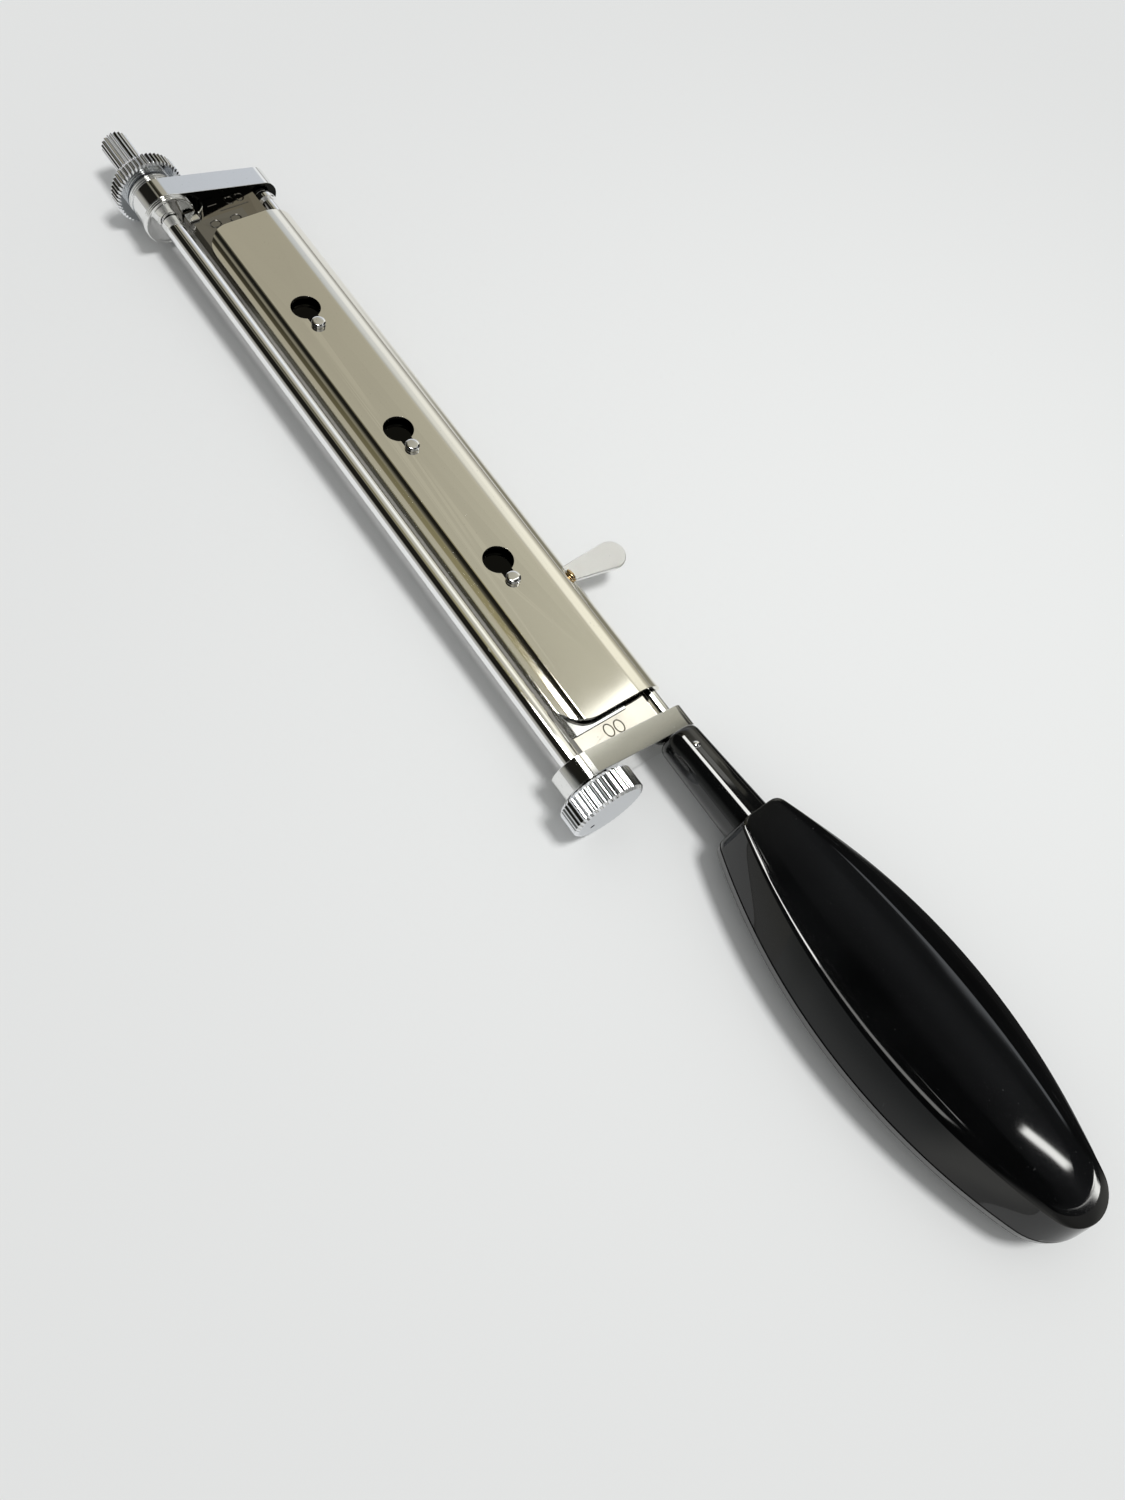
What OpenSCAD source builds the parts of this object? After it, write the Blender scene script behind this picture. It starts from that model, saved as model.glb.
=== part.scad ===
// Skin grafting knife with a guard roller, a sliding blade cover and a flat moulded handle.
// It lies as it rests on a table: X runs from the tip to the handle, Y from the cutting edge
// to the back, Z up. The origin is under the middle of the knife, on the table.

/* [Blade cover] */
// Length of the cover sheet
cover_len = 152; // [130:1:170]
// Thickness of the cover sheet
cover_t = 0.9; // [0.7:0.1:1.1]
// Height of the cover's top above the table
cover_top_z = 10.9; // [10.6:0.1:11.4]
// Radius of the soft bend between the flat top and the roll
bend_r = 9; // [8:0.5:12]
// Angle that the roll wraps round the rod
roll_wrap = 215; // [180:5:240]
// How far the front slope reaches forward
slope_run = 3; // [2.4:0.1:3.2]
// Width of the flat lip in front of the slope
lip_w = 0.9; // [0.6:0.1:1]
// Radius of the lip's corners, seen from above
lip_corner_r = 7; // [4:0.5:9]
// Smallest gap between the far bracket and the cover's end
far_gap = 9.9; // [8:0.1:14]
// Gap that stays at the near bracket when the cover is slid fully open
end_clear = 0.3; // [0.2:0.1:1]

/* [Keyholes and studs] */
// Number of keyholes
keyholes = 3; // [2:1:3]
// Diameter of the round part of a keyhole
keyhole_d = 7; // [6:0.1:8]
// Distance of the keyholes from the cover's front edge
keyhole_y = 6.1; // [5:0.1:7]
// Distance from the cover's far end to the first keyhole
keyhole_first = 30.6; // [20:0.2:36]
// Distance between keyholes
keyhole_pitch = 39.8; // [34:0.2:42]
// Travel of the cover from locked to open
cover_travel = 5.7; // [5:0.1:6.4]
// Diameter of a stud's shank
stud_d = 2.3; // [2:0.1:2.6]
// Diameter of a stud's head
stud_head_d = 3.3; // [3:0.1:4]
// Height of a stud's head
stud_head_h = 1; // [0.8:0.1:1.4]
// Bevel on a stud's head
stud_bevel = 0.35; // [0.1:0.05:0.5]
// Clearance between a stud and the slot or the hole that it passes
stud_clear = 0.2; // [0.1:0.05:0.3]

/* [Hinge rod] */
// Diameter of the rod
rod_d = 4; // [3.4:0.1:4.4]
// Distance of the rod from the cover's front edge
rod_y = 17.8; // [17:0.1:19]
// Height of the rod above the table
rod_z = 5.1; // [4.8:0.1:5.6]
// Depth of the rod in each bracket
rod_seat = 3; // [2:0.1:3.2]
// Diameter of the collar on the rod
rod_collar_d = 5.4; // [5:0.1:6.4]
// Width of the collar on the rod
rod_collar_w = 1.6; // [1:0.1:3]
// Gap between the collar and the far bracket
rod_collar_gap = 1.2; // [0:0.1:3]

/* [Blade and base plate] */
// Thickness of the base plate
plate_t = 2.6; // [2:0.1:3]
// Height of the base plate's top above the table
plate_top_z = 8.7; // [8.5:0.05:8.8]
// How far the plate reaches forward of the cover's front edge
plate_front = 4.1; // [3.6:0.1:4.3]
// Distance between the plate's back edge and the rod
plate_rod_gap = 1; // [0.6:0.1:2]
// Gap between the plate's notch and the flange at the far bracket
plate_notch = 0.3; // [0.2:0.05:0.5]
// Length of the blade
blade_len = 158; // [150:1:160]
// Room that the plate leaves beyond both ends of the blade, together
blade_room = 9.9; // [8:0.1:14]
// Part of that room at the far end, where the latch stands
latch_room = 4.95; // [4.9:0.05:6]
// Width of the blade
blade_w = 14.2; // [12:0.1:15]
// Thickness of the blade
blade_t = 0.4; // [0.3:0.05:0.5]
// How far the edge reaches forward of the plate
blade_reach = 0.4; // [0.2:0.1:0.6]
// Width of the ground bevel
blade_bevel = 1.3; // [0.8:0.1:2]
// Diameter of the pins that hold the plate to the brackets
plate_pin_d = 1.5; // [1:0.1:1.8]
// Distance of those pins from the plate's long edges
plate_pin_inset = 5; // [3:0.1:6]
// Depth of those pins in the plate and in the bracket
plate_pin_depth = 3; // [2:0.1:4]
// Length of the latch that holds the blade's far end
latch_len = 2.6; // [2:0.1:2.7]
// Width of the latch
latch_w = 2.6; // [2:0.1:3.2]
// Height of the latch above the plate
latch_h = 1; // [0.8:0.1:1.4]
// Distance of the latch from the plate's front edge
latch_inset = 0.2; // [0.1:0.1:1]
// Gap between the latch and the blade's end
latch_gap = 0.2; // [0.1:0.05:0.3]
// Outer radius of the curved fin behind the latch
fin_r = 3.4; // [3:0.1:4]
// Thickness of the fin
fin_t = 0.5; // [0.4:0.05:0.8]
// Height of the fin above the plate
fin_h = 1.4; // [1:0.1:2]

/* [Brackets] */
// Thickness of the near bracket
near_t = 5.4; // [5:0.1:7]
// Thickness of the far bracket
far_t = 6; // [5:0.1:7]
// Diameter of the bosses
boss_d = 11.9; // [11:0.1:13]
// Diameter of the brackets' round back ends
back_d = 8.2; // [7.6:0.1:9]

/* [Roller and setting spindle] */
// Distance of the setting spindle behind the cover's front edge, negative is in front
axis_y = -7.2; // [-7.6:0.1:-7.1]
// Diameter of the roller
roller_d = 4.7; // [4.4:0.1:4.8]
// Diameter of the roller's core
core_d = 2.4; // [2:0.1:2.6]
// How far the core is off the spindle's axis
throw_r = 0.42; // [0.3:0.02:0.46]
// Direction of the core from the axis, 180 is straight forward
throw_dir = 195; // [170:1:200]
// Diameter of the journals
journal_d = 4.4; // [4:0.1:5]
// Radial clearance of running fits
run_clear = 0.05; // [0.03:0.01:0.08]
// Radial clearance of fixed fits
fix_clear = 0.02; // [0.01:0.01:0.04]
// End play of the roller at each end
end_play = 0.3; // [0.2:0.05:0.6]
// Diameter of the ringed flange inside the far bracket
flange_d = 12.8; // [11:0.1:13]
// Width of that flange
flange_w = 1.7; // [1.4:0.1:2.4]
// Width of the ringed collar outside the far bracket
collar_w = 1.9; // [1.5:0.1:2.4]
// Depth of the grooves between the beads of flange and collar
bead_groove = 0.35; // [0.2:0.05:0.6]
// Number of beads on flange and collar
beads = 3; // [2:1:3]
// Width of the bush between near bracket and knob
bush_w = 0.7; // [0.5:0.1:1.5]
// Diameter of that bush
bush_d = 9.6; // [8:0.1:11]

/* [Knob, lock nut and grip] */
// Diameter of the knob
knob_d = 17.1; // [16.4:0.1:18]
// Thickness of the knob
knob_w = 6; // [5:0.1:8]
// Number of flutes on the knob
knob_flutes = 40; // [24:1:48]
// Diameter of a flute on the knob
knob_flute_d = 1.1; // [0.8:0.05:1.2]
// Diameter of the lock nut
nut_d = 17; // [16:0.1:17.1]
// Thickness of the lock nut
nut_w = 4; // [3:0.1:5]
// Number of grooves on the lock nut
nut_flutes = 52; // [30:1:56]
// Diameter of a groove on the lock nut
nut_flute_d = 0.8; // [0.6:0.05:0.9]
// Axial play between lock nut, collar and grip
nut_play = 0.2; // [0.1:0.05:0.4]
// Diameter of the fluted grip at the tip
grip_d = 6.9; // [6:0.1:8]
// Length of the fluted grip
grip_len = 14.6; // [10:0.1:22]
// Number of flutes on the grip
grip_flutes = 20; // [12:1:22]
// Diameter of a flute on the grip
grip_flute_d = 0.8; // [0.5:0.05:0.9]
// Depth of the flutes on knob and lock nut
flute_depth = 0.4; // [0.2:0.05:0.5]
// Depth of the flutes on the grip
grip_flute_depth = 0.3; // [0.2:0.05:0.4]
// Chamfer on the knob's edges
knob_chamfer = 0.5; // [0.2:0.1:1]
// Chamfer on the lock nut's edges
nut_chamfer = 0.4; // [0.2:0.1:0.8]
// Chamfer on the grip's ends
grip_chamfer = 0.6; // [0.2:0.1:1]
// Depth of the spindle's ends in the knob and in the grip
spindle_seat = 3; // [2:0.1:4]
// Diameter of the knob's pin
knob_pin_d = 1; // [0.8:0.1:1.6]
// Depth of the pin's ends under the knob's faces
knob_pin_recess = 0.5; // [0.2:0.1:1]
// Distance of the knob's pin from the axis
knob_pin_r = 4.6; // [4:0.1:5.5]

/* [Neck and handle] */
// Length of the neck
neck_len = 23.5; // [18:0.5:34]
// Diameter of the neck at the bracket
neck_front_d = 8.4; // [8:0.1:9]
// Diameter of the neck at the handle
neck_back_d = 11; // [9:0.1:11.2]
// Bevel on the neck's front edge
neck_edge = 1; // [0.4:0.1:1.6]
// Diameter of the neck's stub in the handle
neck_stub_d = 9; // [7:0.1:9.6]
// How deep the neck is set into the handle
neck_seat = 4; // [2:0.5:8]
// Distance of the neck's axis behind the cover's front edge
neck_y = 15.55; // [14:0.05:17]
// Angle of the handle towards the back, seen from above
handle_yaw = 2; // [0:0.5:5]
// Diameter of the tang
tang_d = 4; // [3:0.1:5]
// Diameter of the tang's stub in the bracket
tang_stub_d = 2; // [1.6:0.1:2.4]
// Depth of that stub in the bracket
tang_seat = 1.6; // [1:0.1:1.8]
// Reach of the tang into the handle
tang_reach = 50; // [20:1:70]
// Diameter of the neck's cross pin
neck_pin_d = 1.9; // [1.4:0.1:2.6]
// Distance of the cross pin from the neck's front end
neck_pin_at = 5; // [4:0.1:8]
// How far the cross pin stands out of the neck
neck_pin_proud = 0.45; // [0.2:0.05:0.8]
// Length of the handle
handle_len = 98.2; // [90:0.1:120]
// Largest width of the handle
handle_w = 37.2; // [34:0.1:40]
// Thickness of the handle
handle_t = 16; // [14:0.1:18]
// Distance from the handle's front to its widest place
handle_belly = 49; // [44:0.5:54]
// Radius of the handle's sides
handle_side_r = 126; // [120:1:150]
// Width of the upper face
facet_w = 26.8; // [24:0.1:30]
// Radius of the upper face's sides
facet_side_r = 147; // [135:1:180]
// How far the upper face ends before the handle's tail
facet_inset = 1.2; // [0.5:0.1:4]
// Width of the straight land between the upper and the lower bevel
handle_land = 0.8; // [0.4:0.1:2]
// How far the crown rises from the upper face's edge
handle_crown = 0.6; // [0.2:0.1:1]
// Width of the flat on the crown
crown_w = 20.4; // [16:0.1:22]
// Radius of the sides of that flat
crown_side_r = 203; // [180:1:230]
// How far that flat ends before the upper face's tail
crown_inset = 4.5; // [2:0.5:8]

/* [Thumb tab] */
// Distance of the tab from the cover's far end
tab_x = 119.6; // [60:0.2:140]
// Length of the tab behind the rod
tab_len = 16; // [12:0.1:18]
// Width of the tab at its tip
tab_tip_w = 7; // [5:0.1:9]
// Width of the tab at its root
tab_root_w = 4; // [3:0.1:6]
// Thickness of the tab
tab_t = 1; // [0.8:0.1:1.4]
// Height on the cover's bend at which the tab is brazed, as an angle from straight up
tab_seat_angle = 45; // [30:1:50]
// How far the tab's tip leans towards the handle
tab_lean = 0.7; // [0:0.1:3]

/* [Hidden] */
$fn = 64;
eps = 0.01;

// Places along the knife, counted from the cover's far end
near_x = cover_len + cover_travel + end_clear;
far_x = -max(far_gap, blade_len + blade_room - near_x);
near_out_x = near_x + near_t;
far_out_x = far_x - far_t;
knob_x = near_out_x + bush_w + nut_play;
nut_x = far_out_x - collar_w - nut_play - nut_w;
grip_end_x = nut_x - nut_play;
grip_x = grip_end_x - grip_len;
neck_gap = neck_front_d / 2 * sin(handle_yaw) + fix_clear;
handle_x = near_out_x + neck_gap + neck_len;

// Places across the knife and above the table
axis_z = knob_d / 2;
core_y = axis_y + throw_r * cos(throw_dir);
core_z = axis_z + throw_r * sin(throw_dir);
roll_r = rod_d / 2 + run_clear + cover_t;
roll_drop = cover_top_z - rod_z;
bend_angle = acos((bend_r - roll_drop) / (bend_r - roll_r));
bend_y = rod_y - (bend_r - roll_r) * sin(bend_angle);
blade_top_z = plate_top_z + blade_t;
blade_cover_gap = 0.1;
lip_z = blade_top_z + blade_cover_gap;
plate_back = rod_y - rod_d / 2 - plate_rod_gap;
blade_front_y = -plate_front - blade_reach;
blade_x = far_x + latch_room;
handle_mid_z = handle_t / 2;
stud_x = [for (i = [0:keyholes - 1]) keyhole_first + i * keyhole_pitch + cover_travel];
slot_w = stud_d + 2 * stud_clear;
head_gap = 0.1;

// Leaf outline of the handle: two long arcs and a round tail
function tail_r(len, half, side_r) =
    let (a = len - handle_belly, b = side_r - half)
    (side_r * side_r - a * a - b * b) / (2 * (side_r - a));
function leaf(len, half, side_r) =
    let (t = tail_r(len, half, side_r),
        tail_u = len - t,
        a_front = acos(-handle_belly / side_r),
        a_tail = atan2(side_r - half, tail_u - handle_belly),
        side = [for (i = [0:24])
            let (a = a_front + (a_tail - a_front) * i / 24)
            [handle_belly + side_r * cos(a), half - side_r + side_r * sin(a)]],
        tail = [for (i = [1:15])
            let (a = a_tail * (1 - i / 8))
            [tail_u + t * cos(a), t * sin(a)]])
    concat(side, tail, [for (i = [24:-1:0]) [side[i][0], -side[i][1]]]);

// The origin lies under the middle of the knife's box
tail_round = tail_r(handle_len, handle_w / 2, handle_side_r);
handle_root = [handle_x, neck_y + (handle_x - near_out_x) * tan(handle_yaw)];
tail_end_x = handle_root[0] + (handle_len - tail_round) * cos(handle_yaw) + tail_round;
belly_drop = handle_side_r - handle_w / 2;
belly_y = handle_root[1] + handle_belly * sin(handle_yaw) - belly_drop * cos(handle_yaw) + handle_side_r;
front_y = axis_y - knob_d / 2;
middle_x = (tail_end_x + grip_x) / 2;
middle_y = (belly_y + front_y) / 2;

module in_place() {
    translate([-middle_x, -middle_y, 0]) children();
}

// A shaft along X: its lower end at x, its axis at y and z
module along_x(x, y, z) {
    translate([x, y, z]) rotate([0, 90, 0]) children();
}

module on_axis(x) {
    along_x(x, axis_y, axis_z) children();
}

// A flat outline in the Y and Z plane, made thick along X
module side_plate(x, thick) {
    translate([x, 0, 0]) rotate([90, 0, 90]) linear_extrude(thick) children();
}

// Two circles joined by a web whose sides lie a hair inside the outer tangents
module link(p1, r1, p2, r2) {
    hair = 0.02;
    d = p2 - p1;
    a = atan2(d[1], d[0]);
    b = acos((r1 - r2) / norm(d));
    translate(p1) circle(r1);
    translate(p2) circle(r2);
    polygon([
        p1 + (r1 - hair) * [cos(a + b), sin(a + b)],
        p1 + (r1 - hair) * [cos(a - b), sin(a - b)],
        p2 + (r2 - hair) * [cos(a - b), sin(a - b)],
        p2 + (r2 - hair) * [cos(a + b), sin(a + b)]]);
}

// A turned ring with raised beads and grooves between them, standing on z = 0
module ringed(outer_r, bore_r, width, beads) {
    pitch = width / beads;
    bead_share = 0.75;
    difference() {
        cylinder(h = width, r = outer_r - bead_groove);
        translate([0, 0, -eps]) cylinder(h = width + 2 * eps, r = bore_r);
    }
    for (i = [0:beads - 1]) {
        translate([0, 0, i * pitch]) difference() {
            cylinder(h = pitch * bead_share, r = outer_r);
            translate([0, 0, -eps]) cylinder(h = pitch, r = bore_r);
        }
    }
}

// A round blank with straight grooves round its edge and a chamfer at each end
module fluted(radius, width, count, groove_d, chamfer, depth) {
    difference() {
        union() {
            translate([0, 0, chamfer]) cylinder(h = width - 2 * chamfer, r = radius);
            cylinder(h = chamfer, r1 = radius - chamfer, r2 = radius);
            translate([0, 0, width - chamfer]) cylinder(h = chamfer, r1 = radius, r2 = radius - chamfer);
        }
        for (i = [0:count - 1]) {
            rotate([0, 0, i * 360 / count])
                translate([radius + groove_d / 2 - depth, 0, -eps])
                    cylinder(h = width + 2 * eps, d = groove_d, $fn = 16);
        }
    }
}

// Four pins along X, two at each end of the plate
module plate_pin_set(clear, extra) {
    for (x = [far_x, near_x]) {
        for (y = [plate_pin_inset - plate_front, plate_back - plate_pin_inset]) {
            along_x(x - plate_pin_depth - extra, y, plate_top_z - plate_t / 2)
                cylinder(h = 2 * (plate_pin_depth + extra), r = plate_pin_d / 2 + clear, $fn = 32);
        }
    }
}

module base_plate() {
    color("silver") in_place() difference() {
        translate([far_x, -plate_front, plate_top_z - plate_t])
            cube([near_x - far_x, plate_front + plate_back, plate_t]);
        plate_pin_set(fix_clear, fix_clear);
        on_axis(far_x - 1) cylinder(h = flange_w + plate_notch + 1, r = flange_d / 2 + plate_notch);
        for (x = stud_x) {
            translate([x, keyhole_y, plate_top_z - plate_t / 2])
                cylinder(h = plate_t, r = stud_d / 2 + fix_clear, $fn = 32);
        }
    }
}

// Wafer blade, ground on its upper side towards the edge
module blade() {
    color("gainsboro") in_place() difference() {
        side_plate(blade_x, blade_len) polygon([
            [blade_front_y, plate_top_z],
            [blade_front_y + blade_bevel, blade_top_z],
            [blade_front_y + blade_w, blade_top_z],
            [blade_front_y + blade_w, plate_top_z]]);
        for (x = stud_x) {
            translate([x, keyhole_y, plate_top_z - eps])
                cylinder(h = blade_t + 2 * eps, r = stud_d / 2 + stud_clear, $fn = 32);
        }
    }
}

// The studs stand in the plate, and their heads hold the cover down
module studs() {
    color("silver") in_place() for (x = stud_x) {
        translate([x, keyhole_y, plate_top_z - plate_t / 2])
            cylinder(h = cover_top_z + head_gap - plate_top_z + plate_t / 2, d = stud_d);
        translate([x, keyhole_y, cover_top_z + head_gap]) {
            cylinder(h = stud_head_h - stud_bevel, d = stud_head_d);
            translate([0, 0, stud_head_h - stud_bevel])
                cylinder(h = stud_bevel, d1 = stud_head_d, d2 = stud_head_d - 2 * stud_bevel);
        }
    }
}

// Low latch at the blade's far end, and the curved fin that guards it towards the bracket
module blade_latch() {
    fin_from = 20;
    fin_to = 88;
    fin_off = 0.3;
    fin_inset = 2.1;
    color("lightgray") in_place() {
        translate([blade_x - latch_gap - latch_len, latch_inset - plate_front, plate_top_z])
            cube([latch_len, latch_w, latch_h]);
        translate([far_x + fin_off, fin_inset - plate_front, plate_top_z]) rotate([0, 0, fin_from])
            rotate_extrude(angle = fin_to - fin_from) translate([fin_r - fin_t, 0]) square([fin_t, fin_h]);
    }
}

module plate_pins() {
    color("gray") in_place() plate_pin_set(0, 0);
}

// Side view shared by both brackets: boss in front, round end behind
module bracket_outline() {
    link([axis_y, axis_z], boss_d / 2, [rod_y, rod_z], back_d / 2);
}

module near_bracket() {
    color("silver") in_place() difference() {
        side_plate(near_x, near_t) bracket_outline();
        on_axis(near_x - eps) cylinder(h = near_t + 2 * eps, r = journal_d / 2 + run_clear);
        along_x(near_x - eps, rod_y, rod_z) cylinder(h = rod_seat + eps, r = rod_d / 2 + fix_clear);
        plate_pin_set(fix_clear, fix_clear);
        handle_axis() translate([0, 0, -tang_seat - fix_clear])
            cylinder(h = tang_seat + 1, r = tang_stub_d / 2 + fix_clear, $fn = 32);
    }
}

module far_bracket() {
    color("silver") in_place() difference() {
        side_plate(far_out_x, far_t) bracket_outline();
        on_axis(far_out_x - eps) cylinder(h = far_t + 2 * eps, r = journal_d / 2 + run_clear);
        along_x(far_x - rod_seat, rod_y, rod_z) cylinder(h = rod_seat + eps, r = rod_d / 2 + fix_clear);
        plate_pin_set(fix_clear, fix_clear);
    }
}

module hinge_rod() {
    color("silver") in_place() along_x(far_x - rod_seat + fix_clear, rod_y, rod_z)
        cylinder(h = near_x - far_x + 2 * (rod_seat - fix_clear), d = rod_d);
}

module rod_collar() {
    color("silver") in_place() along_x(far_x + rod_collar_gap, rod_y, rod_z) difference() {
        cylinder(h = rod_collar_w, d = rod_collar_d);
        translate([0, 0, -eps]) cylinder(h = rod_collar_w + 2 * eps, r = rod_d / 2 + fix_clear);
    }
}

// Side view of the sheet: lip, slope, flat top, soft bend, and the roll as a solid sector
module cover_outline() {
    lip_top = lip_z + cover_t;
    seam = 90 - bend_angle;
    bend_at = [bend_y, cover_top_z - bend_r];
    bend_steps = 20;
    roll_steps = 36;
    outer_bend = [for (i = [0:bend_steps])
        let (a = 90 - bend_angle * i / bend_steps)
        bend_at + bend_r * [cos(a), sin(a)]];
    outer_roll = [for (i = [1:roll_steps])
        let (a = seam - roll_wrap * i / roll_steps)
        [rod_y, rod_z] + roll_r * [cos(a), sin(a)]];
    inner_bend = [for (i = [1:bend_steps])
        let (a = seam + bend_angle * i / bend_steps)
        bend_at + (bend_r - cover_t) * [cos(a), sin(a)]];
    polygon(concat(
        [[-slope_run - lip_w, lip_z], [-slope_run - lip_w, lip_top], [-slope_run, lip_top], [0, cover_top_z]],
        outer_bend,
        outer_roll,
        [[rod_y, rod_z]],
        inner_bend,
        [[0, cover_top_z - cover_t], [-slope_run, lip_z]]));
}

// The sheet seen from above, with its two front corners rounded
module cover_plan() {
    front = slope_run + lip_w;
    back = rod_y + 2 * roll_r;
    translate([lip_corner_r, -front]) square([cover_len - 2 * lip_corner_r, front + back]);
    translate([0, lip_corner_r - front]) square([cover_len, front + back - lip_corner_r]);
    for (x = [lip_corner_r, cover_len - lip_corner_r]) {
        translate([x, lip_corner_r - front]) circle(lip_corner_r);
    }
}

module cover_plate() {
    color([0.72, 0.7, 0.63]) in_place() difference() {
        intersection() {
            side_plate(0, cover_len) cover_outline();
            linear_extrude(2 * cover_top_z) cover_plan();
        }
        along_x(-1, rod_y, rod_z) cylinder(h = cover_len + 2, r = rod_d / 2 + run_clear);
        for (x = stud_x) {
            translate([x - cover_travel, keyhole_y, cover_top_z - cover_t - 1]) {
                cylinder(h = cover_t + 2, d = keyhole_d);
                translate([0, -slot_w / 2, 0]) cube([cover_travel, slot_w, cover_t + 2]);
                translate([cover_travel, 0, 0]) cylinder(h = cover_t + 2, d = slot_w);
            }
        }
    }
}

// Leaf-shaped lug by which the cover is pushed open: its sloped root lies on the cover's bend
module thumb_tab() {
    tip_r = tab_tip_w / 2;
    root_r = tab_root_w / 2;
    seat_y = bend_y + (bend_r + fix_clear) * sin(tab_seat_angle);
    seat_z = cover_top_z - bend_r + (bend_r + fix_clear) * cos(tab_seat_angle);
    slope = tab_t / 2 / tan(tab_seat_angle);
    color("silver") in_place() translate([tab_x, rod_y, seat_z - tab_t / 2]) intersection() {
        linear_extrude(tab_t) link([0, 0], root_r, [tab_lean, tab_len - tip_r], tip_r);
        side_plate(-tab_tip_w, 3 * tab_tip_w) polygon([
            [seat_y - rod_y + slope, 0],
            [tab_len + 1, 0],
            [tab_len + 1, tab_t],
            [seat_y - rod_y - slope, tab_t]]);
    }
}

module roller() {
    start = far_x + flange_w + end_play;
    color("silver") in_place() along_x(start, core_y, core_z) difference() {
        cylinder(h = near_x - end_play - start, d = roller_d);
        translate([0, 0, -eps])
            cylinder(h = near_x - end_play - start + 2 * eps, r = core_d / 2 + run_clear);
    }
}

// One turned piece: journals on the axis, and a core off the axis between them
module setting_spindle() {
    core_from = far_x + flange_w;
    core_to = near_x;
    color("silver") in_place() {
        on_axis(grip_end_x - spindle_seat) cylinder(h = core_from - grip_end_x + spindle_seat, d = journal_d);
        along_x(core_from - eps, core_y, core_z) cylinder(h = core_to - core_from + 2 * eps, d = core_d);
        on_axis(core_to) cylinder(h = knob_x - core_to + spindle_seat, d = journal_d);
    }
}

module near_knob() {
    color("gainsboro") in_place() on_axis(knob_x) difference() {
        fluted(knob_d / 2, knob_w, knob_flutes, knob_flute_d, knob_chamfer, flute_depth);
        translate([0, 0, -eps]) cylinder(h = spindle_seat + eps + fix_clear, r = journal_d / 2 + fix_clear);
        knob_pin_place(-eps) cylinder(h = knob_w + 2 * eps, r = knob_pin_d / 2 + fix_clear, $fn = 32);
    }
}

// The pin's place is below the axis, towards the front
module knob_pin_place(z) {
    rotate([0, 0, -60]) translate([knob_pin_r, 0, z]) children();
}

module knob_pin() {
    color("dimgray") in_place() on_axis(knob_x)
        knob_pin_place(knob_pin_recess) cylinder(h = knob_w - 2 * knob_pin_recess, d = knob_pin_d, $fn = 32);
}

module near_bush() {
    color("gray") in_place() on_axis(near_out_x)
        ringed(bush_d / 2, journal_d / 2 + run_clear, bush_w, 1);
}

module far_flange() {
    color("silver") in_place() on_axis(far_x)
        ringed(flange_d / 2, journal_d / 2 + run_clear, flange_w, beads);
}

module far_collar() {
    color("silver") in_place() on_axis(far_out_x - collar_w)
        ringed(boss_d / 2, journal_d / 2 + run_clear, collar_w, beads);
}

module lock_nut() {
    color("gainsboro") in_place() on_axis(nut_x) difference() {
        fluted(nut_d / 2, nut_w, nut_flutes, nut_flute_d, nut_chamfer, flute_depth);
        translate([0, 0, -eps]) cylinder(h = nut_w + 2 * eps, r = journal_d / 2 + run_clear);
    }
}

module tip_grip() {
    color("gainsboro") in_place() on_axis(grip_x) difference() {
        fluted(grip_d / 2, grip_len, grip_flutes, grip_flute_d, grip_chamfer, grip_flute_depth);
        translate([0, 0, grip_len - spindle_seat - fix_clear])
            cylinder(h = spindle_seat + 1, r = journal_d / 2 + fix_clear);
    }
}

// The handle's axis: it starts at the near bracket and turns a little towards the back
module handle_axis() {
    translate([near_out_x, neck_y, handle_mid_z]) rotate([0, 0, handle_yaw]) rotate([0, 90, 0]) children();
}

// Steel core from the bracket through the neck into the handle
module tang() {
    color("gray") in_place() handle_axis() {
        translate([0, 0, -tang_seat]) cylinder(h = tang_seat + neck_gap + eps, d = tang_stub_d);
        difference() {
            translate([0, 0, neck_gap]) cylinder(h = neck_len + tang_reach, d = tang_d);
            translate([0, 0, neck_gap + neck_pin_at]) rotate([0, 90, 0])
                cylinder(h = neck_front_d, r = neck_pin_d / 2 + fix_clear, center = true, $fn = 32);
        }
    }
}

// Turned sleeve: bevelled front edge, slow taper, stub in the handle
module neck() {
    front = neck_front_d / 2;
    back = neck_back_d / 2;
    color([0.06, 0.06, 0.06]) in_place() handle_axis() difference() {
        translate([0, 0, neck_gap]) {
            translate([0, 0, neck_edge]) cylinder(h = neck_len - neck_edge, r1 = front, r2 = back);
            cylinder(h = neck_edge, r1 = front - neck_edge, r2 = front);
            translate([0, 0, neck_len - eps]) cylinder(h = neck_seat + eps, d = neck_stub_d);
        }
        cylinder(h = 2 * (neck_gap + neck_len + neck_seat + 1), r = tang_d / 2 + fix_clear, center = true);
        translate([0, 0, neck_gap + neck_pin_at]) rotate([0, 90, 0])
            cylinder(h = neck_front_d + 2, r = neck_pin_d / 2 + fix_clear, center = true, $fn = 32);
    }
}

// Cross pin through neck and tang, a little proud at both ends
module neck_pin() {
    color("silver") in_place() handle_axis() translate([0, 0, neck_gap + neck_pin_at]) rotate([0, 90, 0])
        cylinder(h = neck_front_d + 2 * neck_pin_proud, d = neck_pin_d, center = true, $fn = 32);
}

// One slice of the handle: a leaf outline at a height above the table
module slice(z, thick, len, half, side_r) {
    translate([0, 0, z]) linear_extrude(thick) polygon(leaf(len, half, side_r));
}

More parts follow.
